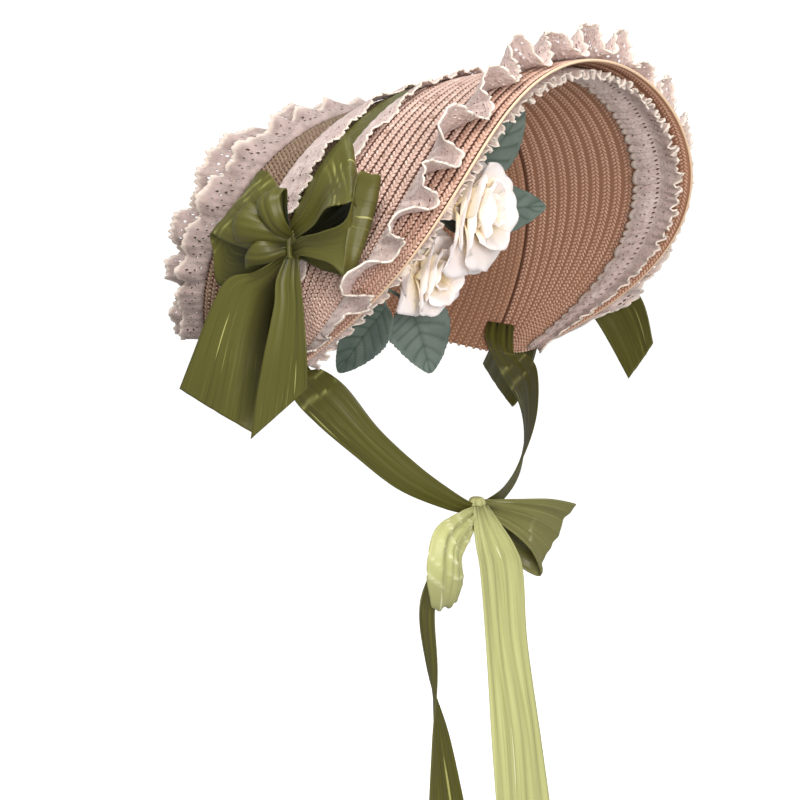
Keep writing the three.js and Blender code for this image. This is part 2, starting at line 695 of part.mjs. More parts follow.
function flower(bloom) {
  const inward = wallFrame(bloom.across, bloom.along).out.negate();
  const seat = wall(bloom.across, bloom.along, -LACE_CREST - GAP);
  const axis = vector(bloom.faces).normalize();
  const centre = seat.clone()
    .addScaledVector(inward, CALYX.tall - BLOOM_SET.back)
    .addScaledVector(axis, BLOOM_SET.ahead);
  const throat = CALYX.radius * CALYX.taper;
  const base = new THREE.CylinderGeometry(throat, CALYX.radius, CALYX.tall, CALYX.sides);
  base.applyQuaternion(new THREE.Quaternion().setFromUnitVectors(new THREE.Vector3(0, 1, 0), inward));
  base.translate(...seat.clone().addScaledVector(inward, CALYX.tall / 2).toArray());
  const bud = new THREE.SphereGeometry(1, 8, 6);
  bud.scale(BUD.radius * bloom.size, BUD.tall * bloom.size, BUD.radius * bloom.size);
  bud.applyQuaternion(new THREE.Quaternion().setFromUnitVectors(new THREE.Vector3(0, 1, 0), axis));
  bud.translate(...centre.clone().addScaledVector(axis, BUD.ahead).toArray());
  let solid = toSolid(base).add(toSolid(bud));
  for (const ring of PETAL_RINGS) {
    solid = solid.add(toSolid(petalRing(seat, centre, inward, axis, ring, bloom.size)));
  }
  return toGeometry(largest(solid));
}

function leaf(blade) {
  const carried = blade.along > FACING.inner ? LACE_CREST : STRAW / 2;
  const seat = wall(blade.across, blade.along, -carried - GAP - BLADE.stalk);
  const curve = new THREE.CatmullRomCurve3([seat, ...blade.midrib.map(vector)]);
  const faces = vector(blade.faces);
  const grid = steps(0, 1, 7).map((share) => {
    const centre = curve.getPoint(share);
    const ahead = curve.getTangent(share);
    const side = ahead.clone().cross(faces).normalize();
    const half = 1 + blade.wide * Math.sin(Math.PI * Math.max((3 * share - 1) / 2, 0) ** BLADE.full);
    const rise = side.clone().cross(ahead);
    return [-1, 0, 1].map((across) => centre.clone()
      .addScaledVector(side, half * across)
      .addScaledVector(rise, BLADE.fold * half * Math.abs(across)));
  });
  return sheet(grid, 1);
}

// Assembly

const bonnet = new THREE.Group();

function add(name, kind, geometry) {
  const mesh = new THREE.Mesh(geometry, finish(kind));
  mesh.name = name;
  bonnet.add(mesh);
}

add('crown', 'straw', crown());
add('brim', 'straw', brim());
add('crown_band', 'ribbon', crownBand());
for (const frill of FRILLS) {
  add(frill.name, 'lace', bandFrill(frill));
}
add('brim_ruffle', 'lace', ruffle());
add('brim_facing', 'lace', facing());
const outerTier = STRAW / 2 + GAP + LACE;
add('back_frill_outer', 'lace', backFrill(BACK_OUTER, outerTier));
add('back_frill_inner', 'lace', backFrill(BACK_INNER, outerTier + GAP + 1.5 * LACE));

const BOWS = [
  {
    name: 'bow_right',
    side: -1,
    pieces: ['loop_back', 'loop_upper', 'loop_front', 'tail_back', 'tail_front'],
  },
  { name: 'bow_left', side: 1, pieces: ['loop_back', 'loop_front', 'tail_back', 'tail_far'] },
];
for (const bow of BOWS) {
  add(`${bow.name}_knot`, 'ribbon', sideKnot(bow.side));
  const cutters = [sideKnot(bow.side, GAP)];
  for (const piece of bow.pieces) {
    const ribbon = sideRibbon(bow.side, SIDE_RIBBONS[piece]);
    add(`${bow.name}_${piece}`, 'ribbon', cutBy(ribbon, cutters));
    cutters.push(sideRibbon(bow.side, SIDE_RIBBONS[piece], GAP));
  }
  if (bow.side < 0) {
    add(`${bow.name}_puff`, 'ribbon', cutBy(puff(bow.side), cutters));
  }
}

add('chin_knot', 'ribbon', chinKnot());
const chinCutters = [chinKnot(GAP)];
for (const [name, rows] of Object.entries(CHIN_RIBBONS)) {
  add(name, 'ribbon', cutBy(chinRibbon(rows), chinCutters));
  chinCutters.push(chinRibbon(rows, GAP));
}
add('tie_right', 'ribbon', cutBy(tie(-1), chinCutters));
add('tie_left', 'ribbon', cutBy(tie(1), chinCutters));

for (const bloom of FLOWERS) {
  add(bloom.name, 'petal', flower(bloom));
}
for (const blade of LEAVES) {
  add(blade.name, 'leaf', leaf(blade));
}

const seat = wall(0, SEAT_ALONG, -STRAW / 2);
bonnet.position.copy(seat).negate();

const group = new THREE.Group();
group.add(bonnet);

export default group;
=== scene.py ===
import math

import bpy
import numpy as np
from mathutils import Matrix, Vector


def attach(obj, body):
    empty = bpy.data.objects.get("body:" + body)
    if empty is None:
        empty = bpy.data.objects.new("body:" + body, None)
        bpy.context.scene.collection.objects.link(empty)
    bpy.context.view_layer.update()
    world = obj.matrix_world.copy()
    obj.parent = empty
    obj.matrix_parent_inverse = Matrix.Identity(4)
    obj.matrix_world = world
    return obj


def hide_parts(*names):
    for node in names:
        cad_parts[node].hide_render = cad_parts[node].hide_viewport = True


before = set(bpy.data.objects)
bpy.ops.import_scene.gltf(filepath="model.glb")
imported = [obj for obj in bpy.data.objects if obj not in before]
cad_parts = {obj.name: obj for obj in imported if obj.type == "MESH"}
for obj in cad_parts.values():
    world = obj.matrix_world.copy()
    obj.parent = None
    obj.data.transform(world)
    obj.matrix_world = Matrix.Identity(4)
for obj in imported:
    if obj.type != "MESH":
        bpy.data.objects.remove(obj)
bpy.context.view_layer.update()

# The studio
# A pale room with no corners, a large soft lamp high on the left and a weaker one on the right.
# The camera looks at the bonnet's right side, a little from the front and from just above.
CORNERS_LEVEL = Vector((0.0, -0.013584, -0.172761))    # midpoint of the brim's two lower corners
VIEW_AZIMUTH = math.radians(-48)
VIEW_ELEVATION = math.radians(4)
VIEW_DISTANCE = 1.7
SENSOR = 0.036
PIXEL = 0.00068                  # metres to one pixel of the picture at the bonnet
PICTURE = 800
LEFT_OF_CENTRE = 25              # pixels by which the aim is left of the corners' midpoint
UNDER_CENTRE = 45
ROOM_COLOUR = (0.93, 0.925, 0.92, 1)
ROOM_GLOW = 0.62
ROOM_SIDES = 96
AMBIENT = 0.42
FLOOR = -0.62                    # the room's sizes are in metres
ROOM_RADIUS = 5.0
ROOM_CORNER = 1.6
CEILING_RISE = 4.0

scene = bpy.context.scene
scene.view_settings.view_transform = "Standard"
back = Vector((
    math.sin(VIEW_AZIMUTH) * math.cos(VIEW_ELEVATION),
    -math.cos(VIEW_AZIMUTH) * math.cos(VIEW_ELEVATION),
    math.sin(VIEW_ELEVATION),
))
right = Vector((math.cos(VIEW_AZIMUTH), math.sin(VIEW_AZIMUTH), 0))
above = back.cross(right)
aim = CORNERS_LEVEL - right * LEFT_OF_CENTRE * PIXEL - above * UNDER_CENTRE * PIXEL
eye = CORNERS_LEVEL + back * VIEW_DISTANCE
camera_data = bpy.data.cameras.new("camera")
camera_data.sensor_width = SENSOR * 1000
camera_data.lens = SENSOR * 1000 * VIEW_DISTANCE / (PICTURE * PIXEL)
camera_data.clip_start = 0.01
camera = bpy.data.objects.new("camera", camera_data)
camera.location = eye
camera.rotation_euler = (aim - eye).to_track_quat("-Z", "Y").to_euler()
scene.collection.objects.link(camera)
scene.camera = camera

world = bpy.data.worlds.new("room light")
world.use_nodes = True
world.node_tree.nodes["Background"].inputs["Color"].default_value = (1.0, 0.985, 0.97, 1)
world.node_tree.nodes["Background"].inputs["Strength"].default_value = AMBIENT
scene.world = world


def new_material(name, roughness, sheen=0.0, more=None):
    """A node material with its tree and its shader; more gives other sockets their values."""
    material = bpy.data.materials.new(name)
    material.use_nodes = True
    shader = material.node_tree.nodes["Principled BSDF"]
    sockets = {"Roughness": roughness, "Sheen Weight": sheen, **(more or {})}
    for socket, value in sockets.items():
        shader.inputs[socket].default_value = value
    return material, material.node_tree, shader


def ring_faces(rings, sides):
    """Faces between rings of points, each ring closed on itself."""
    faces = []
    for ring in range(rings - 1):
        low, high = ring * sides, (ring + 1) * sides
        for side in range(sides):
            after = (side + 1) % sides
            faces.append((low + side, low + after, high + after, high + side))
    return faces


def room_profile():
    """Floor, round corner and wall of the room as distances and heights."""
    middle = FLOOR + ROOM_CORNER
    profile = [(0.001, FLOOR), (ROOM_RADIUS - ROOM_CORNER, FLOOR)]
    for angle in np.linspace(0, math.pi / 2, 13)[1:]:
        out = ROOM_RADIUS - ROOM_CORNER + ROOM_CORNER * math.sin(angle)
        profile.append((out, middle - ROOM_CORNER * math.cos(angle)))
    for angle in np.linspace(0, math.pi / 2, 9)[1:]:
        out = max(ROOM_RADIUS * math.cos(angle), 0.001)
        profile.append((out, middle + CEILING_RISE * math.sin(angle)))
    return profile


def make_room():
    profile = room_profile()
    turns = np.linspace(0, 2 * math.pi, ROOM_SIDES + 1)[:-1]
    points = [(d * math.cos(a), d * math.sin(a), h) for d, h in profile for a in turns]
    mesh = bpy.data.meshes.new("room")
    mesh.from_pydata(points, [], ring_faces(len(profile), ROOM_SIDES))
    mesh.shade_smooth()
    mesh.materials.append(new_material("room paint", 0.9, more={
        "Base Color": ROOM_COLOUR,
        "Emission Color": (1, 1, 1, 1),
        "Emission Strength": ROOM_GLOW,
    })[0])
    room = bpy.data.objects.new("room", mesh)
    scene.collection.objects.link(room)
    for ray in ("visible_diffuse", "visible_glossy", "visible_transmission", "visible_shadow"):
        setattr(room, ray, False)
    return room


make_room()


def add_lamp(name, azimuth, elevation, distance, size, power, colour):
    """A square soft lamp that faces the bonnet."""
    turn, lift = math.radians(azimuth), math.radians(elevation)
    way = Vector((
        math.sin(turn) * math.cos(lift),
        -math.cos(turn) * math.cos(lift),
        math.sin(lift),
    ))
    data = bpy.data.lights.new(name, "AREA")
    data.size = size
    data.energy = power
    data.color = colour
    lamp = bpy.data.objects.new(name, data)
    lamp.location = way * distance
    lamp.rotation_euler = (-way).to_track_quat("-Z", "Y").to_euler()
    scene.collection.objects.link(lamp)


add_lamp("key lamp", -66, 46, 1.9, 0.8, 25, (1.0, 0.975, 0.95))
add_lamp("front lamp", -34, 2, 2.2, 1.0, 34, (1.0, 0.97, 0.95))
add_lamp("top lamp", 60, 62, 2.0, 1.0, 14, (0.97, 0.98, 1.0))

# Crown
# The back of the bonnet is straw plait, flat braids of split straw sewn round and round in rows,
# with the rows closing on a short upright seam at the back. The braid here is the finer one.
MM = 0.001
ARCH_PLACES = np.array([0.0, 0.30, 0.65, 1.0])
# topY, topZ: highest point of the arch; lowY, lowZ: lower corners; wide, low: half widths; lean
ARCHES = np.array([
    [52, 164, 120, 10, 110, 94, 0.85],
    [-18, 181, 36, -4, 119, 108, 1.2],
    [-86, 190, 14, -4, 126, 114, 2.2],
    [-146, 194, 0, 0, 131, 120, 2.8],
])
BAND_ALONG = 0.30
NEAR = 0.001
# painted shade: the near-black wall under the strands stands for the shade in the gaps between rows
PLAIT_GAP_SHADE = (0.05, 0.018, 0.011, 1)
# painted shade: the crown's straw is a darker copy of the brim's straw, for the shade over the crown
SHADED_CROWN_DARK = (0.14, 0.085, 0.045, 1)
SHADED_CROWN_MIDDLE = (0.215, 0.15, 0.10, 1)
SHADED_CROWN_PALE = (0.315, 0.225, 0.155, 1)
# painted light: the straw facing the hollow is painted warmer, and lighter on the crown, for the warm
# bounced light inside
STRAW_INSIDE_LIGHT = (0.66, 0.36, 0.225, 1)
BACKING = 0.7                    # thickness of the sewn wall under the strands, mm
STRAND_THICK = 2.5
CROWN_ROW = 6.2                  # width of one row of the crown's braid, mm
CROWN_PITCH = 3.0                # from one strand of a row to the next, mm
CROWN_COVER = 0.83               # how much of its row's width a strand crosses
STRAND_SLANT = math.radians(47)
STRAND_LONGER = 1.14             # strands run past their places, so that they cross
STRAND_WIDER = 1.34
STRAND_ASIDE = 0.21              # strands' middles off the row's middle, as a share of its width
ROUND_STEPS = 361                # points by which a row's length is measured
STEP_ROUND, STEP_BACK = 0.004, 0.01    # small steps along a row and from it to the next
STRAND_OUT = 0.35                # and out from the wall's middle, mm
HOLLOW_MIDDLE = np.array([0.0, 0.0, -0.095])
HOLLOW_BACK = 0.03               # behind this place, in metres, the inside faces forwards too
TOP_PLACE = 0.35                 # where on the arch the rows have their usual width
TIP_SEAM = {"y": 102, "top": 64, "low": 28, "dome": 17}
TIP_BULGE = np.array([0, 0.92, 0.38])


def arch_slopes():
    slopes = []
    for k in range(len(ARCH_PLACES)):
        low, high = max(k - 1, 0), min(k + 1, len(ARCH_PLACES) - 1)
        slopes.append((ARCHES[high] - ARCHES[low]) / (ARCH_PLACES[high] - ARCH_PLACES[low]))
    return np.array(slopes)


ARCH_SLOPES = arch_slopes()


def hermite(share, here, leave, after, arrive):
    square = share * share
    cube = square * share
    return (
        (2 * cube - 3 * square + 1) * here
        + (cube - 2 * square + share) * leave
        + (3 * square - 2 * cube) * after
        + (cube - square) * arrive
    )


def wall_middle(across, along):
    """A point on the middle of the straw wall, in mm; across runs from -1, right, to 1, left."""
    across, along = np.broadcast_arrays(np.asarray(across, float), np.asarray(along, float))
    along = np.clip(along, 0, 1)
    index = np.clip(np.searchsorted(ARCH_PLACES, along) - 1, 0, len(ARCHES) - 2)
    span = (ARCH_PLACES[index + 1] - ARCH_PLACES[index])[..., None]
    share = (along - ARCH_PLACES[index])[..., None] / span
    arch = hermite(
        share, ARCHES[index], ARCH_SLOPES[index] * span,
        ARCHES[index + 1], ARCH_SLOPES[index + 1] * span,
    )
    top_y, top_z, low_y, low_z, wide, low, lean = np.moveaxis(arch, -1, 0)
    reach = np.pi - np.arcsin(low / wide)
    radius = (top_z - low_z) / (1 - np.cos(reach))
    angle = np.abs(across) * reach
    z = top_z - radius + radius * np.cos(angle)
    drop = np.clip((top_z - z) / (top_z - low_z), 0, None)
    y = top_y + (low_y - top_y) * drop ** lean
    return np.stack([np.sign(across) * wide * np.sin(angle), y, z], -1)


def unit(vectors):
    return vectors / np.maximum(np.linalg.norm(vectors, axis=-1, keepdims=True), 1e-9)


def wall_frame(across, along):
    """The wall's directions: to the front, to the bonnet's left and outwards."""
    inside = np.clip(along, NEAR, 1 - NEAR)
    ahead = unit(wall_middle(across, inside + NEAR) - wall_middle(across, inside - NEAR))
    left = unit(wall_middle(across + NEAR, inside) - wall_middle(across - NEAR, inside))
    return ahead, left, unit(np.cross(ahead, left))


def wall(across, along, out=0.0, forward=0.0):
    ahead, _, outward = wall_frame(across, along)
    out = np.asarray(out, float)[..., None]
    forward = np.asarray(forward, float)[..., None]
    return wall_middle(across, along) + outward * out + ahead * forward


def crown_tip(across, step):
    """The domed tip behind the crown's back edge: step 0 is the edge and 1 is the seam."""
    edge = wall_middle(across, 0.0)
    seam = np.stack([
        np.zeros_like(across),
        np.full_like(across, TIP_SEAM["y"]),
        TIP_SEAM["top"] + (TIP_SEAM["low"] - TIP_SEAM["top"]) * across ** 2,
    ], -1)
    step = np.asarray(step, float)[..., None]
    return edge * (1 - step) + seam * step + TIP_BULGE * TIP_SEAM["dome"] * np.sin(step * np.pi / 2)


def add_object(name, points, faces, material):
    """A mesh object from points in mm, measured from the level of the brim's lower corners."""
    mesh = bpy.data.meshes.new(name)
    placed = np.asarray(points, float) * MM + np.array(CORNERS_LEVEL)
    mesh.from_pydata(placed.tolist(), [], faces)
    mesh.validate()
    mesh.shade_smooth()
    mesh.materials.append(material)
    thing = bpy.data.objects.new(name, mesh)
    scene.collection.objects.link(thing)
    return thing


def grid_faces(rows, columns, start=0):
    return [
        (start + r * columns + c, start + r * columns + c + 1,
         start + (r + 1) * columns + c + 1, start + (r + 1) * columns + c)
        for r in range(rows - 1) for c in range(columns - 1)
    ]


def finish_piece(piece, node):
    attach(piece, "root")
    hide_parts(node)
    return piece


def apply_modifiers(piece):
    """Turns what the modifiers make into the object's own plain mesh."""
    bpy.context.view_layer.update()
    made = bpy.data.meshes.new_from_object(
        piece.evaluated_get(bpy.context.evaluated_depsgraph_get()),
        preserve_all_data_layers=True,
        depsgraph=bpy.context.evaluated_depsgraph_get(),
    )
    piece.modifiers.clear()
    piece.data = made
    return piece


def join_pieces(first, *others):
    for thing in bpy.context.selected_objects:
        thing.select_set(False)
    for thing in (first, *others):
        thing.select_set(True)
    bpy.context.view_layer.objects.active = first
    bpy.ops.object.join()
    return first


def colour_ramp(tree, factor, stops):
    ramp = tree.nodes.new("ShaderNodeValToRGB")
    ramp.color_ramp.elements.remove(ramp.color_ramp.elements[1])
    elements = ramp.color_ramp.elements
    elements[0].position = stops[0][0]
    for place, colour in stops[1:]:
        elements.new(place).color = colour
    elements[0].color = stops[0][1]
    tree.links.new(factor, ramp.inputs["Fac"])
    return ramp.outputs["Color"]


def mix_colours(tree, factor, first, second):
    mix = tree.nodes.new("ShaderNodeMix")
    mix.data_type = "RGBA"
    for socket, value in ((mix.inputs[0], factor), (mix.inputs[6], first), (mix.inputs[7], second)):
        if isinstance(value, bpy.types.NodeSocket):
            tree.links.new(value, socket)
        else:
            socket.default_value = value
    return mix.outputs[2]


def attribute(tree, name):
    node = tree.nodes.new("ShaderNodeAttribute")
    node.attribute_name = name
    return node.outputs["Fac"]


def noise(tree, scale, detail=3.0, stretch=None, coordinates="Object"):
    """Noise on object or UV coordinates, with a Mapping node where it is stretched."""
    place = tree.nodes.new("ShaderNodeTexCoord")
    texture = tree.nodes.new("ShaderNodeTexNoise")
    texture.inputs["Scale"].default_value = scale
    texture.inputs["Detail"].default_value = detail
    source = place.outputs[coordinates]
    if stretch is not None:
        mapping = tree.nodes.new("ShaderNodeMapping")
        mapping.inputs["Scale"].default_value = stretch
        tree.links.new(source, mapping.inputs["Vector"])
        source = mapping.outputs["Vector"]
    tree.links.new(source, texture.inputs["Vector"])
    return texture.outputs["Fac"]


def cloth_noise(tree, detail, across, along):
    """Noise on the cloth's own flat coordinates, closer across than along where it streaks."""
    return noise(tree, 1.0, detail, stretch=(across, along, 1.0), coordinates="UV")


def add_bump(tree, shader, height, strength, distance):
    bump = tree.nodes.new("ShaderNodeBump")
    bump.inputs["Strength"].default_value = strength
    bump.inputs["Distance"].default_value = distance
    tree.links.new(height, bump.inputs["Height"])
    tree.links.new(bump.outputs["Normal"], shader.inputs["Normal"])


def straw_strand_material(name, dark, middle, pale):
    material, tree, shader = new_material(name, 0.5)
    tone = colour_ramp(tree, attribute(tree, "tint"), [
        (0.0, dark), (0.12, middle), (0.8, middle), (1.0, pale),
    ])
    patches = noise(tree, 45.0, 4.0)
    tone = mix_colours(tree, patches, tone, mix_colours(tree, 0.3, tone, pale))
    # painted light: warmer straw where it faces the hollow
    bounce_lit = mix_colours(tree, 0.72, tone, STRAW_INSIDE_LIGHT)
    sided = mix_colours(tree, attribute(tree, "inside"), tone, bounce_lit)
    tree.links.new(sided, shader.inputs["Base Color"])
    add_bump(tree, shader, noise(tree, 2600.0, 2.0), 0.35, 0.0003)
    return material


def straw_gap_material():
    material, tree, shader = new_material("straw gap", 0.85)
    # painted shade in the gaps: near black outside, paler where the straw faces the hollow
    gap_shade = mix_colours(tree, noise(tree, 400.0), PLAIT_GAP_SHADE, (0.11, 0.045, 0.026, 1))
    sided = mix_colours(tree, attribute(tree, "inside"), gap_shade, (0.34, 0.165, 0.095, 1))
    tree.links.new(sided, shader.inputs["Base Color"])
    return material


def group_input(tree, name, kind, default=None):
    socket = tree.interface.new_socket(name, in_out="INPUT", socket_type=kind)
    if default is not None:
        socket.default_value = default
    return socket.identifier


def strand_shape(tree, entry):
    """One straw, a low ball stretched along X to the group's own sizes."""
    ball = tree.nodes.new("GeometryNodeMeshUVSphere")
    ball.inputs["Segments"].default_value = 5
    ball.inputs["Rings"].default_value = 3
    ball.inputs["Radius"].default_value = 0.5
    size = tree.nodes.new("ShaderNodeCombineXYZ")
    tree.links.new(entry.outputs["Strand thickness"], size.inputs["X"])
    tree.links.new(entry.outputs["Strand width"], size.inputs["Y"])
    tree.links.new(entry.outputs["Strand length"], size.inputs["Z"])
    shape = tree.nodes.new("GeometryNodeTransform")
    shape.inputs["Rotation"].default_value = (0, math.pi / 2, 0)
    tree.links.new(ball.outputs["Mesh"], shape.inputs["Geometry"])
    tree.links.new(size.outputs["Vector"], shape.inputs["Scale"])
    return shape.outputs["Geometry"]


def strand_tree():
    """Puts one split straw on each point, its length along way and its flat side facing out."""
    tree = bpy.data.node_groups.new("Straw strands", "GeometryNodeTree")
    tree.interface.new_socket("Geometry", in_out="INPUT", socket_type="NodeSocketGeometry")
    names = {
        "length": group_input(tree, "Strand length", "NodeSocketFloat", 0.006),
        "width": group_input(tree, "Strand width", "NodeSocketFloat", 0.0024),
        "thick": group_input(tree, "Strand thickness", "NodeSocketFloat", 0.002),
        "material": group_input(tree, "Material", "NodeSocketMaterial"),
        "seed": group_input(tree, "Seed", "NodeSocketInt", 3),
    }
    tree.interface.new_socket("Geometry", in_out="OUTPUT", socket_type="NodeSocketGeometry")
    node = tree.nodes.new
    link = tree.links.new
    entry = node("NodeGroupInput")
    turn = node("FunctionNodeAxesToRotation")
    turn.primary_axis = "X"
    turn.secondary_axis = "Z"
    place = node("GeometryNodeInstanceOnPoints")
    stored = {
        "way": turn.inputs["Primary Axis"],
        "out": turn.inputs["Secondary Axis"],
        "size": place.inputs["Scale"],
    }
    for name, socket in stored.items():
        read = node("GeometryNodeInputNamedAttribute")
        read.data_type = "FLOAT_VECTOR"
        read.inputs["Name"].default_value = name
        link(read.outputs["Attribute"], socket)
    link(entry.outputs["Geometry"], place.inputs["Points"])
    link(strand_shape(tree, entry), place.inputs["Instance"])
    link(turn.outputs["Rotation"], place.inputs["Rotation"])
    chance = node("FunctionNodeRandomValue")
    link(entry.outputs["Seed"], chance.inputs["Seed"])
    tint = node("GeometryNodeStoreNamedAttribute")
    tint.data_type = "FLOAT"
    tint.domain = "INSTANCE"
    tint.inputs["Name"].default_value = "tint"
    link(place.outputs["Instances"], tint.inputs["Geometry"])
    link(chance.outputs[1], tint.inputs["Value"])
    realize = node("GeometryNodeRealizeInstances")
    smooth = node("GeometryNodeSetShadeSmooth")
    paint = node("GeometryNodeSetMaterial")
    leave = node("NodeGroupOutput")
    link(tint.outputs["Geometry"], realize.inputs["Geometry"])
    link(realize.outputs["Geometry"], smooth.inputs["Geometry"])
    link(smooth.outputs["Geometry"], paint.inputs["Geometry"])
    link(entry.outputs["Material"], paint.inputs["Material"])
    link(paint.outputs["Geometry"], leave.inputs["Geometry"])
    return tree, names


STRAND_TREE, STRAND_INPUTS = strand_tree()
shaded_crown_straw = straw_strand_material("crown straw strand", SHADED_CROWN_DARK, SHADED_CROWN_MIDDLE, SHADED_CROWN_PALE)
shaded_gap_straw = straw_gap_material()


def lengths_along(line):
    """How far each point of a line is from its first, walked along it."""
    return np.concatenate([[0], np.cumsum(np.linalg.norm(np.diff(line, axis=0), axis=1))])


def braid_row(place, row, width, pitch):
    """Middles, lengths and flat sides of the strands in one row of braid."""
    fine = np.linspace(-1, 1, ROUND_STEPS)
    walked = lengths_along(place(fine, np.full_like(fine, row)))
    count = int(walked[-1] / pitch)
    middles, ways, outs, sizes = [], [], [], []
    top = np.array([TOP_PLACE])
    usual = np.linalg.norm(place(top, top * 0 + row + STEP_BACK) - place(top, top * 0 + row))
    for half in (-1, 1):
        stops = (np.arange(count) + (0.25 if half < 0 else 0.75)) * walked[-1] / count
        across = np.interp(stops, walked, fine)
        here = place(across, np.full_like(across, row))
        run = unit(place(across + STEP_ROUND, np.full_like(across, row)) - here)
        ahead = unit(place(across, np.full_like(across, row + STEP_ROUND)) - here)
        out = unit(np.cross(ahead, run))
        side = np.cross(run, out)
        beyond = place(across, np.full_like(across, row + STEP_BACK))
        spread = np.linalg.norm(beyond - here, axis=1)
        narrow = np.clip(spread / usual, 0.4, 1.1)[:, None]
        middles.append(here + side * half * width * STRAND_ASIDE * narrow + out * STRAND_OUT)
        sizes.append(np.hstack([narrow, np.ones_like(narrow), 1.35 - 0.35 * narrow]))
        ways.append(unit(run * math.cos(STRAND_SLANT) + side * half * math.sin(STRAND_SLANT)))
        outs.append(unit(out + side * half * 0.5))
    return [np.concatenate(values) for values in (middles, ways, outs, sizes)]


def braid(name, rows, straw, seed):
    """All strands of a straw piece: rows lists (place, row, width, pitch)."""
    made = [braid_row(*row) for row in rows]
    middles = np.concatenate([values[0] for values in made])
    width, pitch = rows[0][2], rows[0][3]
    strands = add_object(name, middles, [], straw)
    for label, index in (("way", 1), ("out", 2), ("size", 3)):
        values = np.concatenate([m[index] for m in made]).astype(np.float32)
        strands.data.attributes.new(label, "FLOAT_VECTOR", "POINT").data.foreach_set(
            "vector", values.ravel(),
        )
    modifier = strands.modifiers.new("Straw strands", "NODES")
    modifier.node_group = STRAND_TREE
    modifier[STRAND_INPUTS["length"]] = width * 0.5 / math.sin(STRAND_SLANT) * STRAND_LONGER * MM
    modifier[STRAND_INPUTS["width"]] = pitch * math.sin(STRAND_SLANT) * STRAND_WIDER * MM
    modifier[STRAND_INPUTS["thick"]] = STRAND_THICK * MM
    modifier[STRAND_INPUTS["material"]] = straw
    modifier[STRAND_INPUTS["seed"]] = seed
    return apply_modifiers(strands)


def store_values(piece, name, values):
    """Stores one number per point, which a material reads by its name."""
    layers = piece.data.attributes
    layer = layers.get(name) or layers.new(name, "FLOAT", "POINT")
    layer.data.foreach_set("value", np.ravel(values).astype(np.float32))


def mark_inside(piece, least=0.0):
    """Stores where the straw faces the hollow, which the straw materials paint warmer: painted light,
    for the warm light bounced round inside the bonnet.
    """
    mesh = piece.data
    places = np.zeros(len(mesh.vertices) * 3, np.float32)
    mesh.vertices.foreach_get("co", places)
    facing = np.zeros(len(mesh.vertices) * 3, np.float32)
    mesh.vertex_normals.foreach_get("vector", facing)
    places, facing = places.reshape(-1, 3), facing.reshape(-1, 3)
    radial = places - HOLLOW_MIDDLE
    radial[:, 1] = np.maximum(places[:, 1] - HOLLOW_BACK, 0) * 0.8
    share = np.clip(0.5 - 1.2 * np.sum(unit(radial) * facing, axis=1), least, 1)
    store_values(piece, "inside", share)


def backing_wall(name, place, rows, columns=90):
    """The thin wall under the strands, seen only as the dark line between two rows, its near-black
    colour painted shade.
    """
    across, row = np.meshgrid(np.linspace(-1, 1, columns), rows)
    points = place(across.ravel(), row.ravel())
    piece = add_object(name, points, grid_faces(len(rows), columns), shaded_gap_straw)
    thick = piece.modifiers.new("Thickness", "SOLIDIFY")
    thick.thickness = BACKING * MM
    thick.offset = 0
    return apply_modifiers(piece)


def depth_of_rows(place, first, last, width):
    """Places of the rows between first and last, about width apart over the top."""
    fine = np.linspace(first, last, 200)
    walked = lengths_along(place(np.full_like(fine, TOP_PLACE), fine))
    count = max(round(walked[-1] / width), 1)
    return np.interp((np.arange(count) + 0.5) / count * walked[-1], walked, fine)


def make_crown():
    side_rows = [
        (wall_middle, row, CROWN_ROW * CROWN_COVER, CROWN_PITCH)
        for row in depth_of_rows(wall_middle, 0.0, BAND_ALONG - 0.002, CROWN_ROW)
    ]
    tip_rows = [
        (crown_tip, row, CROWN_ROW * CROWN_COVER, CROWN_PITCH * 1.1)
        for row in depth_of_rows(crown_tip, 0.02, 1.0, CROWN_ROW)
    ]
    strands = braid("crown_plait", side_rows + tip_rows, shaded_crown_straw, 5)
    side = backing_wall("crown_side", wall_middle, np.linspace(0, BAND_ALONG - 0.0015, 12))
    tip = backing_wall("crown_back", crown_tip, np.linspace(0, 1, 14))
    crown = join_pieces(strands, side, tip)
    crown.name = "straw_crown"
    mark_inside(crown)
    return finish_piece(crown, "crown")


make_crown()

# Brim
# The deep brim is the same sewn straw in a coarser braid, its rows running over the arch from one
# lower corner to the other, with a dark line of painted shade where each row is sewn under the next.
BRIM_ROW = 8.6
BRIM_PITCH = 2.9
BRIM_COVER = 0.80
RIM_RADIUS = 0.9
RIM_RINGS = 300
RIM_SIDES = 8
STRAW_DARK = (0.32, 0.18, 0.115, 1)
STRAW_MIDDLE = (0.66, 0.46, 0.39, 1)
STRAW_PALE = (0.86, 0.66, 0.57, 1)
brim_straw = straw_strand_material("straw strand", STRAW_DARK, STRAW_MIDDLE, STRAW_PALE)
rim_straw = new_material("pale straw rim", 0.6, more={"Base Color": (0.86, 0.62, 0.42, 1)})[0]


def closed_faces(rings, sides):
    """Faces of a closed tube of rings, its first and last ring closed by one face each."""
    ends = [tuple(range(sides - 1, -1, -1)), tuple((rings - 1) * sides + c for c in range(sides))]
    return ring_faces(rings, sides) + ends


def straw_rim():
    """The rim's own finishing: one round pale straw cord along the front edge."""
    across = np.linspace(-1, 1, RIM_RINGS)
    middle = wall(across, np.full_like(across, 1.0), 0.0, 0.6)
    ahead, _, out = wall_frame(across, 1.0)
    turns = np.linspace(0, 2 * np.pi, RIM_SIDES + 1)[:-1]
    ring = (middle[:, None] + ahead[:, None] * (RIM_RADIUS * np.cos(turns))[None, :, None]
            + out[:, None] * (RIM_RADIUS * np.sin(turns))[None, :, None])
    return add_object("brim_rim", ring.reshape(-1, 3), closed_faces(RIM_RINGS, RIM_SIDES), rim_straw)


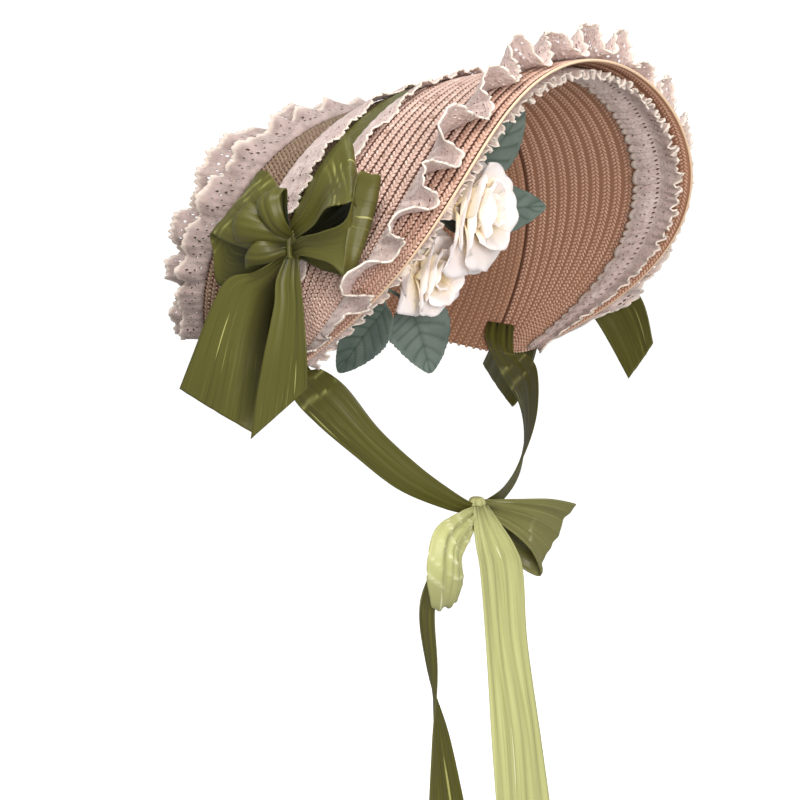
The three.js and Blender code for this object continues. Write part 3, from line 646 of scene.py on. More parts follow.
def make_brim():
    places = depth_of_rows(wall_middle, BAND_ALONG + 0.004, 0.995, BRIM_ROW)
    rows = [(wall_middle, row, BRIM_ROW * BRIM_COVER, BRIM_PITCH) for row in places]
    strands = braid("brim_plait", rows[:-3], brim_straw, 8)
    front = braid("brim_front_plait", rows[-3:], brim_straw, 9)
    back_wall = backing_wall("brim_wall", wall_middle, np.linspace(BAND_ALONG + 0.0015, 1.0, 24))
    mark_inside(strands)
    # painted light: the front rows get at least about half of the warm inside tone
    mark_inside(front, 0.55)
    mark_inside(back_wall)
    brim = join_pieces(strands, front, back_wall, straw_rim())
    brim.name = "straw_brim"
    return finish_piece(brim, "brim")


make_brim()

# Crown band
# One flat satin ribbon laid over the seam where the crown meets the brim, held down by the frills
# sewn along both of its edges and a little crumpled between them.
RIBBON_THICK = 0.6
BAND_EDGES = (0.256, 0.352)      # places of the ribbon's two edges on the wall
BAND_HEIGHT = 1.85
BAND_CUT = (27, 430)             # width and length of the flat ribbon, mm
BAND_ROWS, BAND_COLUMNS = 9, 180
# deep: painted shade in the folds, inside the loops and by the knots; dark, middle, light: the
# streaks; glint: painted highlights on the creases and in thin lines
SATINS = {
    "olive satin": [
        (0.012, 0.014, 0.004, 1), (0.062, 0.060, 0.010, 1), (0.099, 0.095, 0.017, 1),
        (0.142, 0.138, 0.028, 1), (0.46, 0.45, 0.15, 1),
    ],
    # painted light: lighter copies of the same olive satin, half lit and fully lit, for ribbons facing
    # the light
    "mild olive satin": [
        (0.012, 0.014, 0.004, 1), (0.125, 0.120, 0.035, 1), (0.190, 0.185, 0.060, 1),
        (0.33, 0.325, 0.13, 1), (0.86, 0.87, 0.56, 1),
    ],
    "pale olive satin": [
        (0.10, 0.11, 0.03, 1), (0.33, 0.34, 0.12, 1), (0.49, 0.50, 0.21, 1),
        (0.58, 0.59, 0.29, 1), (0.86, 0.87, 0.56, 1),
    ],
}


def satin(name, deep, dark, middle, light, glint):
    """Satin with fine streaks along its length, from UVs that are in metres."""
    material, tree, shader = new_material(name, 0.40, sheen=0.06, more={
        "Sheen Roughness": 0.35,
        "Sheen Tint": (0.9, 0.95, 0.6, 1),
        "Specular IOR Level": 0.34,
        "Anisotropic": 0.5,
    })
    streaks = cloth_noise(tree, 3.0, 900.0, 14.0)
    glint_noise = cloth_noise(tree, 1.0, 520.0, 17.0)
    fine = cloth_noise(tree, 2.0, 2600.0, 60.0)
    tone = colour_ramp(tree, streaks, [(0.28, dark), (0.42, middle), (0.60, middle), (0.74, light)])
    # painted highlight: thin lines of the glint colour along the satin
    glint_lines = colour_ramp(tree, glint_noise, [(0.715, (0, 0, 0, 1)), (0.76, (0.8, 0.8, 0.8, 1))])
    glint_lined = mix_colours(tree, glint_lines, tone, glint)
    # painted highlight on the crests of the crosswise wrinkles
    crease_glinted = mix_colours(tree, attribute(tree, "crease"), glint_lined, glint)
    # painted shade in the folds, inside the loops and by the knots
    shaded = mix_colours(tree, attribute(tree, "shade"), crease_glinted, deep)
    tree.links.new(shaded, shader.inputs["Base Color"])
    add_bump(tree, shader, mix_colours(tree, 0.5, streaks, fine), 0.35, 0.0004)
    return material


olive_satin, half_lit_olive_satin, lit_olive_satin = [satin(name, *tones) for name, tones in SATINS.items()]


def add_uvs(piece, us, vs):
    """Stores the cloth's own flat coordinates, in metres, as the UV map."""
    mesh = piece.data
    layer = mesh.uv_layers.new(name="UVMap")
    corners = np.zeros(len(mesh.loops), np.int32)
    mesh.loops.foreach_get("vertex_index", corners)
    pairs = np.stack([np.ravel(us)[corners], np.ravel(vs)[corners]], 1).astype(np.float32)
    layer.data.foreach_set("uv", pairs.ravel())


def add_grid_uvs(piece, rows, columns, width, length):
    add_uvs(piece, *np.meshgrid(np.linspace(0, width, columns), np.linspace(0, length, rows)))


def add_thickness(piece, thickness, group=None):
    thick = piece.modifiers.new("Thickness", "SOLIDIFY")
    thick.thickness = thickness * MM
    thick.offset = 0
    thick.use_even_offset = False
    if group is not None:
        thick.vertex_group = group
        thick.thickness_vertex_group = 0.0
    return apply_modifiers(piece)


def add_cloth_grid(name, grid, material, width, length, tones=None):
    """A closed sheet of ribbon from a grid of points, rows along its length.

    tones: values per point, 0 to 1, for the painted highlights on the creases and for the painted
    shade in the depths.
    """
    rows, columns = grid.shape[:2]
    piece = add_object(name, grid.reshape(-1, 3), grid_faces(rows, columns), material)
    add_grid_uvs(piece, rows, columns, width * MM, length * MM)
    for label, values in (tones or {}).items():
        store_values(piece, label, values)
    return add_thickness(piece, RIBBON_THICK)


def make_band():
    across, share = np.meshgrid(
        np.linspace(-0.995, 0.995, BAND_COLUMNS), np.linspace(0, 1, BAND_ROWS),
    )
    along = BAND_EDGES[0] + (BAND_EDGES[1] - BAND_EDGES[0]) * share
    crumple = 0.25 * np.sin(across * 57 + share * 7) + 0.2 * np.sin(across * 131 - share * 11)
    grid = wall(across, along, BAND_HEIGHT + crumple * np.sin(np.pi * share))
    width, length = BAND_CUT
    band = add_cloth_grid("ribbon_band", grid.transpose(1, 0, 2), olive_satin, width, length)
    return finish_piece(band, "crown_band")


make_band()

# Side bows
# Each bow is one wide satin ribbon tied over the band: a wrapped knot, loops gathered into it and
# cut tails that hang free. The right one has a scrunched puff too, and the left one is plainer.
SIDE_KNOT = np.array([131.8, -6.0, 77.0])
SIDE_KNOT_SIZE = np.array([7.0, 6.5, 11.0])
# forward, up, out of the ribbon's middle; half its width in the same three; how far it is cupped
SIDE_RIBBONS = {
    "loop_back": [
        (-3, 3, 5, -1, 6, 1, 1),
        (-10, 9, 11, 8, 13, -2, 4),
        (-22, 19, 15, 19, 17, -5, 4),
        (-37, 27, 13, 20, 20, -6, 1),
        (-45, 20, 9, 16, 25, -4, 0),
        (-48, 3, 5, 15, 30, -1, -2),
        (-28, -3, 2, 9, 19, 0, -3),
        (-3, 0, -1, -1, 5, 0, 0),
    ],
    "loop_upper": [
        (3, 7, 4, -4, 2, -1, 1),
        (22, 19, 8, -6, 6, -3, 3),
        (38, 35, 12, -9, 11, -7, 4),
        (51, 46, 8, -12, 19, -11, 2),
        (54, 48, 3, -12, 20, -11, 0),
        (50, 40, -3, -9, 20, -7, -2),
        (34, 24, -5, -6, 15, -4, -3),
        (3, 4, -3, -3, 4, 0, 0),
    ],
    "loop_front": [
        (4, -3, 5, 2, 4, 2, 1),
        (18, 0, 11, 2, 6, 2, 2),
        (38, 1, 16, 3, 8.5, 1, 4),
        (56, 4, 17, 6, 14, -1, 5),
        (64, 14, 15, 4, 31, -3, 5),
        (65, 13, 8, 6, 32, -5, 2),
        (65, 12, 2, 7, 32, -6, -2),
        (57, 8, -3, 8, 27, -5, -3),
        (44, -1, -4, 5, 17, -1, -3),
        (20, -5, -4, 2, 9, 0, -1),
        (3, -3, -2, 1, 4, 0, 0),
    ],
    "tail_back": [
        (-3, -7, 2, -3, 1, 2, 0),
        (-20, -20, 5, -7, 3, 3.5, 1),
        (-34, -30, 8, -12, 8, 6, 2),
        (-43, -51, 10, -15, 10, 8, 2),
        (-52, -81, 11, -20, 10, 10, 2),
        (-62, -109, 10, -23.5, 14, 11, 1),
    ],
    "tail_front": [
        (6, -8, 8, 5, 0, -1, 1),
        (7, -22, 12, 9, 0, -2, 2),
        (9, -38, 14, 11, 0, -2, 3),
        (9, -64, 17, 15.5, 3, -3, 3),
        (5, -86, 16, 18.5, 8, -4, 2),
        (0, -107, 14, 20.5, 17, -5, 1),
    ],
    "tail_far": [
        (1, -8, 3, 4, 3, 1, 1),
        (16, -25, 12, 10, 7, 2, 2),
        (42, -52, 22, 15, 13, 2, 3),
        (60, -86, 23, 10, 13, 1, 1),
    ],
}
# calm, tight: height of the lengthwise folds, mm, away from the knot and at it; count: how many;
# dive: depth to which the edge at side -1 or 1 is turned under, which is also painted in shade; crush:
# mm from, to, apart, high, slant of short crosswise wrinkles; far_shade: how dark the far half of a
# loop is painted, as painted shade
FOLDS = {
    "loop_back": {
        "calm": 0.12, "tight": 1.9, "count": 3, "turn": 0.3, "crush": (30, 62, 6.0, 0.25, 1.1),
        "far_shade": 0.55,
    },
    "loop_upper": {
        "calm": 0.1, "tight": 1.3, "count": 3, "turn": 1.1, "crush": (44, 68, 5.5, 0.4, 0.9),
        "far_shade": 0.95,
    },
    "loop_front": {"calm": 0.1, "tight": 1.2, "count": 3, "turn": 2.0, "far_shade": 0.35},
    "tail_back": {"calm": 0.15, "tight": 1.5, "count": 4, "turn": 0.7, "dive": (-1, 13)},
    "tail_front": {"calm": 0.15, "tight": 1.1, "count": 3, "turn": 2.6},
    "tail_far": {"calm": 0.2, "tight": 1.4, "count": 3, "turn": 1.7},
}
GATHER_REACH = 15                # mm over which the gathers at a knot die away
FULL_FOLDS = 14                  # half width, mm, from which folds have their whole height
TURN_UNDER = (25, 55)            # mm over which a turned edge begins, and over which it ends
TURN_FROM = 0.25                 # place across at which it bends, from the middle to the edge
WRINKLE_FADE = 8                 # mm over which crosswise wrinkles fade in and out
# painted shade: the far half of a loop is darkened from here on
FAR_HALF = (0.52, 0.2)           # where a loop's inside begins to darken, and over how much of it
RIBBON_ROWS = 12                 # rows of faces between two rows of a table
RIBBON_COLUMNS = 31
KNOT_RINGS, KNOT_SIDES = 30, 72
KNOT_CLOTH = (0.05, 0.03)        # ribbon round a knot and along it, m


def curve_at(table, place):
    """A smooth curve through the rows of a table, in all its columns, at places counted in rows."""
    table = np.asarray(table, float)
    last = len(table) - 1
    place = np.clip(np.asarray(place, float), 0, last)
    index = np.minimum(place.astype(int), last - 1)
    before, here = table[np.maximum(index - 1, 0)], table[index]
    after, beyond = table[index + 1], table[np.minimum(index + 2, last)]
    share = (place - index)[:, None]
    return hermite(share, here, (after - before) / 2, after, (beyond - here) / 2)


def ribbon_grid(table, axes, origin, folds, loop):
    """Points over a ribbon, their tones, and the ribbon's length and mean width."""
    last = len(table) - 1
    curve = curve_at(table, np.linspace(0, last, last * RIBBON_ROWS + 1))
    middle = curve[:, 0:3] @ axes + origin
    half = curve[:, 3:6] @ axes
    cup = curve[:, 6]
    bulge = unit(np.cross(half, np.gradient(middle, axis=0)))
    walked = lengths_along(middle)
    near = np.exp(-walked / GATHER_REACH)
    if loop:
        near = near + np.exp(-(walked[-1] - walked) / GATHER_REACH)
    a = np.linspace(-1, 1, RIBBON_COLUMNS)[None, :]
    walk = walked[:, None]
    turn, count = folds["turn"], folds["count"]
    ripple = (
        np.cos(np.pi * count * a + turn + 0.015 * walk)
        + 0.6 * np.cos(np.pi * count * 1.7 * a - turn * 2 - 0.022 * walk)
        + 0.35 * np.cos(np.pi * count * 3.1 * a + turn * 3 + 0.035 * walk)
    )
    width = np.linalg.norm(half, axis=1)
    room = np.clip(width / FULL_FOLDS, 0.25, 1)
    height = ((folds["calm"] + folds["tight"] * near) * room)[:, None] * ripple
    height = height + cup[:, None] * (1 - a ** 2)
    side, depth = folds.get("dive", (1, 0))
    begun = np.clip(walked / TURN_UNDER[0], 0, 1)
    grown = begun * np.clip((walked[-1] - walked) / TURN_UNDER[1], 0, 1) ** 0.5
    turned = np.clip((side * a - TURN_FROM) / (1 - TURN_FROM), 0, 1)
    height = height - depth * grown[:, None] * turned ** 1.6
    start, stop, apart, high, slant = folds.get("crush", (0, 0, 5, 0, 0))
    window = np.clip((walk - start) / WRINKLE_FADE, 0, 1)
    window = window * np.clip((stop - walk) / WRINKLE_FADE, 0, 1)
    line = (walk + 4 * np.sin(2.2 * a + 1) + slant * 6 * a * a) / apart
    patch = np.clip(0.5 + np.sin(3.1 * a + 1.7 * np.floor(line) + turn), 0, 1)
    wrinkle = (1 - np.abs(np.sin(np.pi * line))) ** 3 * window * patch
    height = height + high * wrinkle
    grid = middle[:, None] + half[:, None] * a[..., None] + bulge[:, None] * height[..., None]
    # painted shade: the far half of a loop, an edge turned under, the folds' hollows and the ribbon by
    # the knot
    halfway = np.clip((walk / walked[-1] - FAR_HALF[0]) / FAR_HALF[1], 0, 1)
    shade = folds.get("far_shade", 0) * halfway + 0.75 * turned * grown[:, None] * (depth > 0)
    shade = shade + 0.9 * np.clip(0.2 - ripple, 0, 1) * np.clip(near[:, None] - 0.2, 0, 1)
    shade = shade + 0.45 * np.clip(near[:, None] - 0.45, 0, 1)
    # painted highlight on the wrinkles' crests, and painted shade
    tones = {
        "crease": np.clip(0.8 * wrinkle * (high > 0), 0, 1),
        "shade": np.clip(shade, 0, 1) + 0 * a,
    }
    return grid, tones, walked[-1], 2 * width.mean()


def add_ribbon(node, table, axes, origin, folds, material):
    loop = "loop" in node
    grid, tones, length, width = ribbon_grid(table, axes, origin, folds, loop)
    piece = add_cloth_grid(f"{node}_satin", grid, material, width * 1.1, length, tones)
    return finish_piece(piece, node)


def knot_grid(centre, size, pleats, depth, hollow=None):
    """A knot of ribbon pulled tight: a barrel pinched at its middle, its pleats running up it.

    hollow: turn and lift, in radians, of the deep gap between two pleats.
    """
    lift, turn = np.meshgrid(np.linspace(-np.pi / 2, np.pi / 2, KNOT_RINGS),
                             np.linspace(0, 2 * np.pi, KNOT_SIDES + 1)[:-1], indexing="ij")
    pinch = 1 - 0.14 * np.cos(lift) ** 4
    groove = np.abs(np.sin(turn * pleats / 2 + 0.7 * np.sin(lift * 2))) ** 0.6
    reach = np.cos(lift) ** 0.6 * pinch * (1 - depth * (1 - groove))
    if hollow is not None:
        gap = ((turn - hollow[0]) / 0.30) ** 2 + ((lift - hollow[1]) / 0.34) ** 2
        reach = reach * (1 - 0.75 * np.exp(-gap))
    return np.stack([
        centre[0] + size[0] * reach * np.cos(turn),
        centre[1] + size[1] * reach * np.sin(turn),
        centre[2] + size[2] * np.sin(lift) + 0 * turn,
    ], -1)


def add_knot(node, grid, material):
    rings = grid[1:-1]
    count = len(rings)
    knot = add_object(f"{node}_wrap", rings.reshape(-1, 3), closed_faces(count, KNOT_SIDES), material)
    add_grid_uvs(knot, count, KNOT_SIDES, *KNOT_CLOTH)
    return finish_piece(knot, node)


# the puff is a short end of ribbon scrunched into three lobes beside the knot
PUFF_LOBES = [
    [
        (-2, 6, 5, -2, 4, 1, 1),
        (-12, 12, 15, -1, 11, 1, 6),
        (-24, 15, 20, 2, 13, -2, 6),
        (-30, 14, 15, 4, 12, -3, 3),
        (-22, 10, 10, 2, 9, 0, -2),
        (-6, 4, 6, 0, 4, 0, 0),
    ],
    [
        (2, 6, 5, 3, 2, 1, 1),
        (1, 15, 15, 8, 3, 2, 6),
        (-3, 26, 19, 10, 5, 0, 6),
        (-5, 31, 13, 10, 5, -2, 3),
        (-4, 20, 8, 7, 3, 0, -2),
        (0, 5, 5, 3, 2, 0, 0),
    ],
    [
        (-3, -2, 5, -1, 4, 1, 1),
        (-10, -4, 14, 1, 7, 2, 4),
        (-19, -5, 17, 4, 8, 1, 4),
        (-24, -7, 12, 5, 8, -2, 2),
        (-16, -5, 8, 2, 6, 0, -2),
        (-4, -2, 4, 0, 4, 0, 0),
    ],
]
PUFF_FOLDS = [
    {"calm": 0.3, "tight": 0.7, "count": 1.3, "turn": 0.6, "far_shade": 0.6},
    {"calm": 0.3, "tight": 0.9, "count": 2, "turn": 2.2, "far_shade": 0.7},
    {"calm": 0.2, "tight": 0.6, "count": 1.2, "turn": 1.4, "far_shade": 0.7},
]


def bow_place(side):
    """Directions and knot of the bow on side -1, right, or 1, left."""
    axes = np.array([[0, -1, 0], [0, 0, 1], [side, 0, 0]], float)
    return axes, np.array([side * SIDE_KNOT[0], SIDE_KNOT[1], SIDE_KNOT[2]])


def make_side_bow(name, side, pieces):
    axes, centre = bow_place(side)
    gap = (np.pi + 0.75, -0.35) if side < 0 else (2 * np.pi - 0.75, -0.35)
    add_knot(f"{name}_knot", knot_grid(centre, SIDE_KNOT_SIZE, 5, 0.34, gap), olive_satin)
    for piece in pieces:
        add_ribbon(f"{name}_{piece}", SIDE_RIBBONS[piece], axes, centre, FOLDS[piece], olive_satin)


make_side_bow("bow_right", -1, ("loop_back", "loop_upper", "loop_front", "tail_back", "tail_front"))
make_side_bow("bow_left", 1, ("loop_back", "loop_front", "tail_back", "tail_far"))


def make_puff():
    axes, centre = bow_place(-1)
    lobes = []
    for table, folds in zip(PUFF_LOBES, PUFF_FOLDS):
        grid, tones, length, width = ribbon_grid(table, axes, centre, folds, True)
        lobes.append(add_cloth_grid("puff_lobe", grid, olive_satin, width, length, tones))
    lump = join_pieces(*lobes)
    lump.name = "bow_right_puff_satin"
    finish_piece(lump, "bow_right_puff")


make_puff()

# Ties and their bow
# Two satin ribbons sewn inside the lower corners meet below the opening and are tied in a loose bow,
# whose long tails hang down in front. The ribbons that face the light get lighter copies of the satin,
# as painted light.
CHIN_KNOT = np.array([-5.0, -51.0, -101.0])
CHIN_KNOT_SIZE = np.array([7.0, 7.5, 9.0])
# side, up, out of the ribbon's middle; half its width in the same three; how far it is cupped
CHIN_RIBBONS = {
    "chin_loop_right": [
        (-5, -1, 4, -2, 5, 1, 1),
        (-24, -7, 9, -6, 9, 1, 4),
        (-42, -18, 11, -14, 11, 2, 6),
        (-42, -38, 9, -20, 5, 3, 7),
        (-35, -55, 3, -15, 0, 2, 4),
        (-29, -61, -3, -12, -1, 1, 0),
        (-27, -49, -9, -13, 3, 1, -4),
        (-21, -26, -9, -10, 7, 0, -3),
        (-4, -3, -3, -2, 4, 0, 0),
    ],
    "chin_loop_left": [
        (3, 2, 4, 1, 5, 0, 1),
        (20, -3, 13, 5, 9, 1, 3),
        (42, -12, 20, 11, 16, 0, 4),
        (63, -24, 18, 19, 22, 0, 2),
        (61, -24, 10, 19, 21, 0, -2),
        (50, -20, 4, 15, 17, 0, -4),
        (30, -11, -1, 8, 12, 0, -3),
        (3, 0, -2, 1, 4, 0, 0),
    ],
    "chin_tail_front": [
        (-6, 4, 9, 6, 0, 1, 1),
        (-2, -9, 12, 13, -1, 1, 2),
        (3, -24, 15, 19, -2, 1, 3),
        (8, -42, 16, 21, -2, 1, 3),
        (10.5, -88, 18, 20.5, -2, 1, 2),
        (14, -150, 23, 24, -3, 1, -2),
        (15, -212, 31, 27, -12, 2, 1),
    ],
    "chin_tail_rear": [
        (-2, -5, -4, 4, -2, -2, 0),
        (-16, -30, -13, 7, 3, -6, 1),
        (-33, -62, -14, 4, 1, -10, 1),
        (-35, -105, -8, 5, 0, -9, 1),
        (-32, -150, -3, 13, -2, -4, 2),
        (-28, -208, 1, 21, -10, 0, 1),
    ],
}
CHIN_FOLDS = {
    "chin_loop_right": {
        "calm": 1.1, "tight": 1.2, "count": 2.5, "turn": 0.4, "crush": (6, 75, 11.0, 1.3, 2.2),
        "far_shade": 0.6,
    },
    "chin_loop_left": {
        "calm": 1.0, "tight": 1.4, "count": 2, "turn": 1.9, "crush": (40, 50, 11.0, 0.22, 0.4),
        "far_shade": 0.45,
    },
    "chin_tail_front": {"calm": 0.6, "tight": 0.9, "count": 4, "turn": 0.2},
    "chin_tail_rear": {"calm": 0.5, "tight": 0.8, "count": 3, "turn": 2.2},
}
# side, back, up of the tie's middle; half its width in the same three; how far it is cupped
TIE = [
    (110.1, 26, 16, 1, 13, 1, 0),
    (104.5, 22, 0, 1, 14, 4, 0),
    (105, 9, -13, 2, 12, -9, 1),
    (100, -8, -27, 3, 11, -12, 2),
    (84, -24, -51, 4, 9, -8, 2),
    (58, -38, -76, 5, 6, -7, 2),
    (28, -47, -93, 3, 3, -5, 1),
    (5, -51, -100, 0, 1, -4, 0),
]
TIE_FOLDS = {"calm": 0.25, "tight": 0.4, "count": 3, "turn": 0.9, "crush": (20, 60, 13, 0.12, 0.9)}


def make_chin_bow():
    axes = np.array([[1, 0, 0], [0, 0, 1], [0, -1, 0]], float)
    add_knot("chin_knot", knot_grid(CHIN_KNOT, CHIN_KNOT_SIZE, 5, 0.22), lit_olive_satin)
    for node, table in CHIN_RIBBONS.items():
        # painted light: the chin bow's lit ribbons get the lighter satins
        fabric = {"chin_tail_rear": olive_satin, "chin_loop_left": half_lit_olive_satin}.get(node, lit_olive_satin)
        add_ribbon(node, table, axes, CHIN_KNOT, CHIN_FOLDS[node], fabric)


def make_tie(node, side):
    table = [(side * row[0], row[1], row[2], side * row[3], *row[4:]) for row in TIE]
    knot_end = table[-1]
    table[-1] = (knot_end[0] + CHIN_KNOT[0], *knot_end[1:])
    add_ribbon(node, table, np.eye(3), np.zeros(3), TIE_FOLDS, olive_satin)


make_chin_bow()
make_tie("tie_right", -1)
make_tie("tie_left", 1)

# Frills beside the band
# Two strips of cotton eyelet lace, each machine-sewn flat along one edge and gathered a little, so
# that the scalloped free edge waves: one lies forwards over the band, the other over the brim.
CLOTH_THICK = 0.45
RIM_THICK = 0.85                 # the stitched rims of the eyelets
EDGE_THICK = 1.3                 # the overcast free edge
LACE_CREAM = (0.93, 0.82, 0.71, 1)
# painted shade: dark specks for the shade seen through the gaps between the threads
LACE_OPENING_SHADE = (0.40, 0.30, 0.27, 1)
FRILL_CELL = 3.2                 # one cell of the lace's lattice, mm
FRILL_CELLS = 219
FRILL_GATHERS = 23
FRILL_LIFT = 8.8                 # height of the gathers at the free edge, mm for a fold 1 high
FRILLS = {
    "band_frill_back": {
        "sewn": 0.150, "free": 0.262, "out": 3.1, "rise": 2.2, "waves": 9, "width": 28,
    },
    "band_frill_front": {
        "sewn": 0.342, "free": 0.430, "out": 3.1, "rise": 3.0, "waves": 9, "width": 19,
    },
}
FRILL_REACH = 0.99
FRILL_LENGTH = 700               # flat lace along its lattice, mm


def lace_material(name, shade, colour, most_specks):
    material, tree, shader = new_material(name, 0.9, sheen=0.3, more={
        "Sheen Tint": (1, 0.95, 0.93, 1),
        "Specular IOR Level": 0.2,
        "Subsurface Weight": 0.12,
        "Subsurface Radius": (0.003, 0.0022, 0.002),
        "Subsurface Scale": 0.6,
    })
    patches = noise(tree, 110.0, 4.0)
    cloth = colour_ramp(tree, patches, [(0.34, shade), (0.6, colour)])
    specks = cloth_noise(tree, 1.0, 420.0, 420.0)
    most = (most_specks, most_specks, most_specks, 1)
    # painted shade in small specks over the lace
    opening_shade = colour_ramp(tree, specks, [(0.52, (0, 0, 0, 1)), (0.70, most)])
    cloth = mix_colours(tree, opening_shade, cloth, LACE_OPENING_SHADE)
    edged = mix_colours(tree, attribute(tree, "cream"), cloth, LACE_CREAM)
    tree.links.new(edged, shader.inputs["Base Color"])
    weave = cloth_noise(tree, 2.0, 900.0, 900.0)
    stitching = cloth_noise(tree, 1.0, 300.0, 300.0)
    add_bump(tree, shader, mix_colours(tree, 0.6, weave, stitching), 0.9, 0.0011)
    return material


eyelet_lace = lace_material(
    "cotton eyelet lace", (0.60, 0.465, 0.43, 1), (0.74, 0.60, 0.56, 1), 0.75,
)


def flat_lace(length, width, cell, eyelets):
    """A lattice of square cells, some with a round hole that has a stitched rim.

    eyelets(column, row, rows) is the hole's radius as a share of the cell, or 0.
    Returns the places along and across the strip as shares, the faces and each point's kind.
    """
    columns, rows = max(round(length / cell), 4), max(round(width / cell), 2)
    across, along = 2 * columns + 1, 2 * rows + 1
    s, t = np.meshgrid(np.arange(across) / 2, np.arange(along) / 2)
    points = [np.stack([s.ravel(), t.ravel()], 1)]
    kinds = [np.zeros(across * along, int)]
    faces = []
    count = across * along
    ring = [(0, 0), (1, 0), (2, 0), (2, 1), (2, 2), (1, 2), (0, 2), (0, 1)]
    angles = np.radians([225, 270, 315, 0, 45, 90, 135, 180])
    turned = np.stack([np.cos(angles), np.sin(angles)], 1)
    for row in range(rows):
        for column in range(columns):
            corner = 2 * row * across + 2 * column
            radius = eyelets(column, row, rows)
            if radius <= 0:
                for down in (0, 1):
                    for over in (0, 1):
                        first = corner + down * across + over
                        faces.append((first, first + 1, first + across + 1, first + across))
                continue
            middle = np.array([column + 0.5, row + 0.5])
            points.append(middle + turned * min(radius + 0.12, 0.48))
            points.append(middle + turned * radius)
            kinds.append(np.ones(16, int))
            edge = [corner + down * across + over for over, down in ring]
            for k in range(8):
                after = (k + 1) % 8
                faces.append((edge[k], edge[after], count + after, count + k))
                faces.append((count + k, count + after, count + 8 + after, count + 8 + k))
            count += 16
    points = np.concatenate(points)
    kinds = np.concatenate(kinds)
    s, t = points[:, 0] / columns, points[:, 1] / rows
    kinds[(t > 1 - 0.75 / (2 * rows)) & (kinds == 0)] = 2
    return s, t, faces, kinds


def add_lace(name, place, length, width, cell, eyelets, edges=(1,), fabric=eyelet_lace):
    """Lace from its flat lattice, laid out by place(s, t); edges are the overcast ones."""
    s, t, faces, kinds = flat_lace(length, width, cell, eyelets)
    if 0 in edges:
        kinds[t < 1e-6] = 2
    used = np.zeros(len(s), bool)
    used[np.concatenate([np.array(face) for face in faces])] = True
    number = np.cumsum(used) - 1
    faces = [tuple(int(number[point]) for point in face) for face in faces]
    s, t, kinds = s[used], t[used], kinds[used]
    piece = add_object(name, place(s, t), faces, fabric)
    add_uvs(piece, s * length * MM, t * width * MM)
    rows = max(round(width / cell), 2)
    near_edge = np.clip(1 - (1 - t) * rows * 0.9, 0, 1)
    if 0 in edges:
        near_edge = np.maximum(near_edge, np.clip(1 - t * rows * 0.9, 0, 1))
    store_values(piece, "cream", 0.85 * near_edge)
    group = piece.vertex_groups.new(name="thickness")
    for kind, thickness in ((0, CLOTH_THICK), (1, RIM_THICK), (2, EDGE_THICK)):
        members = np.nonzero(kinds == kind)[0].tolist()
        if members:
            group.add(members, thickness / EDGE_THICK, "REPLACE")
    return add_thickness(piece, EDGE_THICK, "thickness")


def blossoms(column, row, rows):
    """Eyelets in little groups, with a closer row near the free edge."""
    from_edge = rows - 1 - row
    if from_edge == 0 or row == 0:
        return 0
    if from_edge == 1:
        return 0.24 if column % 2 == 0 else 0
    if from_edge in (2, 3):
        return 0.36 if (column + 3 * from_edge) % 9 in (0, 1, 2) else 0
    if row % 3 == 0:
        return 0.34 if (column + 3 * (row // 3)) % 8 in (0, 2, 4) else 0
    return 0


# The shape of a gathered free edge: flat cloth bent to and fro in even folds. The tables give how
# far a point is along the seam and off it, in folds, for its share of one fold of flat cloth.
FOLD_STEPS = 240
FOLD_SHARES = np.linspace(0, 1, FOLD_STEPS + 1)


def fold_tables(bend, narrow):
    """bend: steepest angle of the fold; narrow: above 0 the crests are narrower than the hollows."""
    lean = -bend * np.sin(2 * np.pi * (FOLD_SHARES + narrow * np.sin(2 * np.pi * FOLD_SHARES)))
    step = 1 / FOLD_STEPS
    over = np.concatenate([[0], np.cumsum((np.cos(lean[1:]) + np.cos(lean[:-1])) / 2 * step)])
    high = np.concatenate([[0], np.cumsum((np.sin(lean[1:]) + np.sin(lean[:-1])) / 2 * step)])
    high = high - np.linspace(0, high[-1], FOLD_STEPS + 1)
    return over / over[-1] - FOLD_SHARES, (high - high.min()) / over[-1]


def folded(phase, tables):
    share = phase % 1
    return np.interp(share, FOLD_SHARES, tables[0]), np.interp(share, FOLD_SHARES, tables[1])


def edge_share(t, start):
    """0 over the lace, rising from start to 1 at its free edge."""
    return np.clip((t - start) / (1 - start), 0, 1)


def scallop(s, columns, depth):
    """A scalloped edge, one scallop to two cells of the lattice."""
    return depth * (np.abs(np.sin(np.pi * columns / 2 * s)) - 0.5)


def crimp(s, columns, height):
    """The overcast edge standing up and down in turn, once in three cells."""
    return height * np.sin(2 * np.pi * columns / 3 * s + 1.3 * np.sin(2 * np.pi * 17 * s))


def ripples(s, t, count, seed):
    """Small gathers that are not all alike, from -1 to 1."""
    warp = 0.8 * np.sin(2 * np.pi * (s * count / 5.3 + seed)) + 0.5 * np.sin(
        2 * np.pi * (s * count / 2.9 - 1.7 * seed) + 1.5 * t)
    return np.sin(2 * np.pi * count * s + warp + 2 * t * np.sin(9 * seed + 7 * s))


FRILL_FOLD = fold_tables(0.95, 0.05)


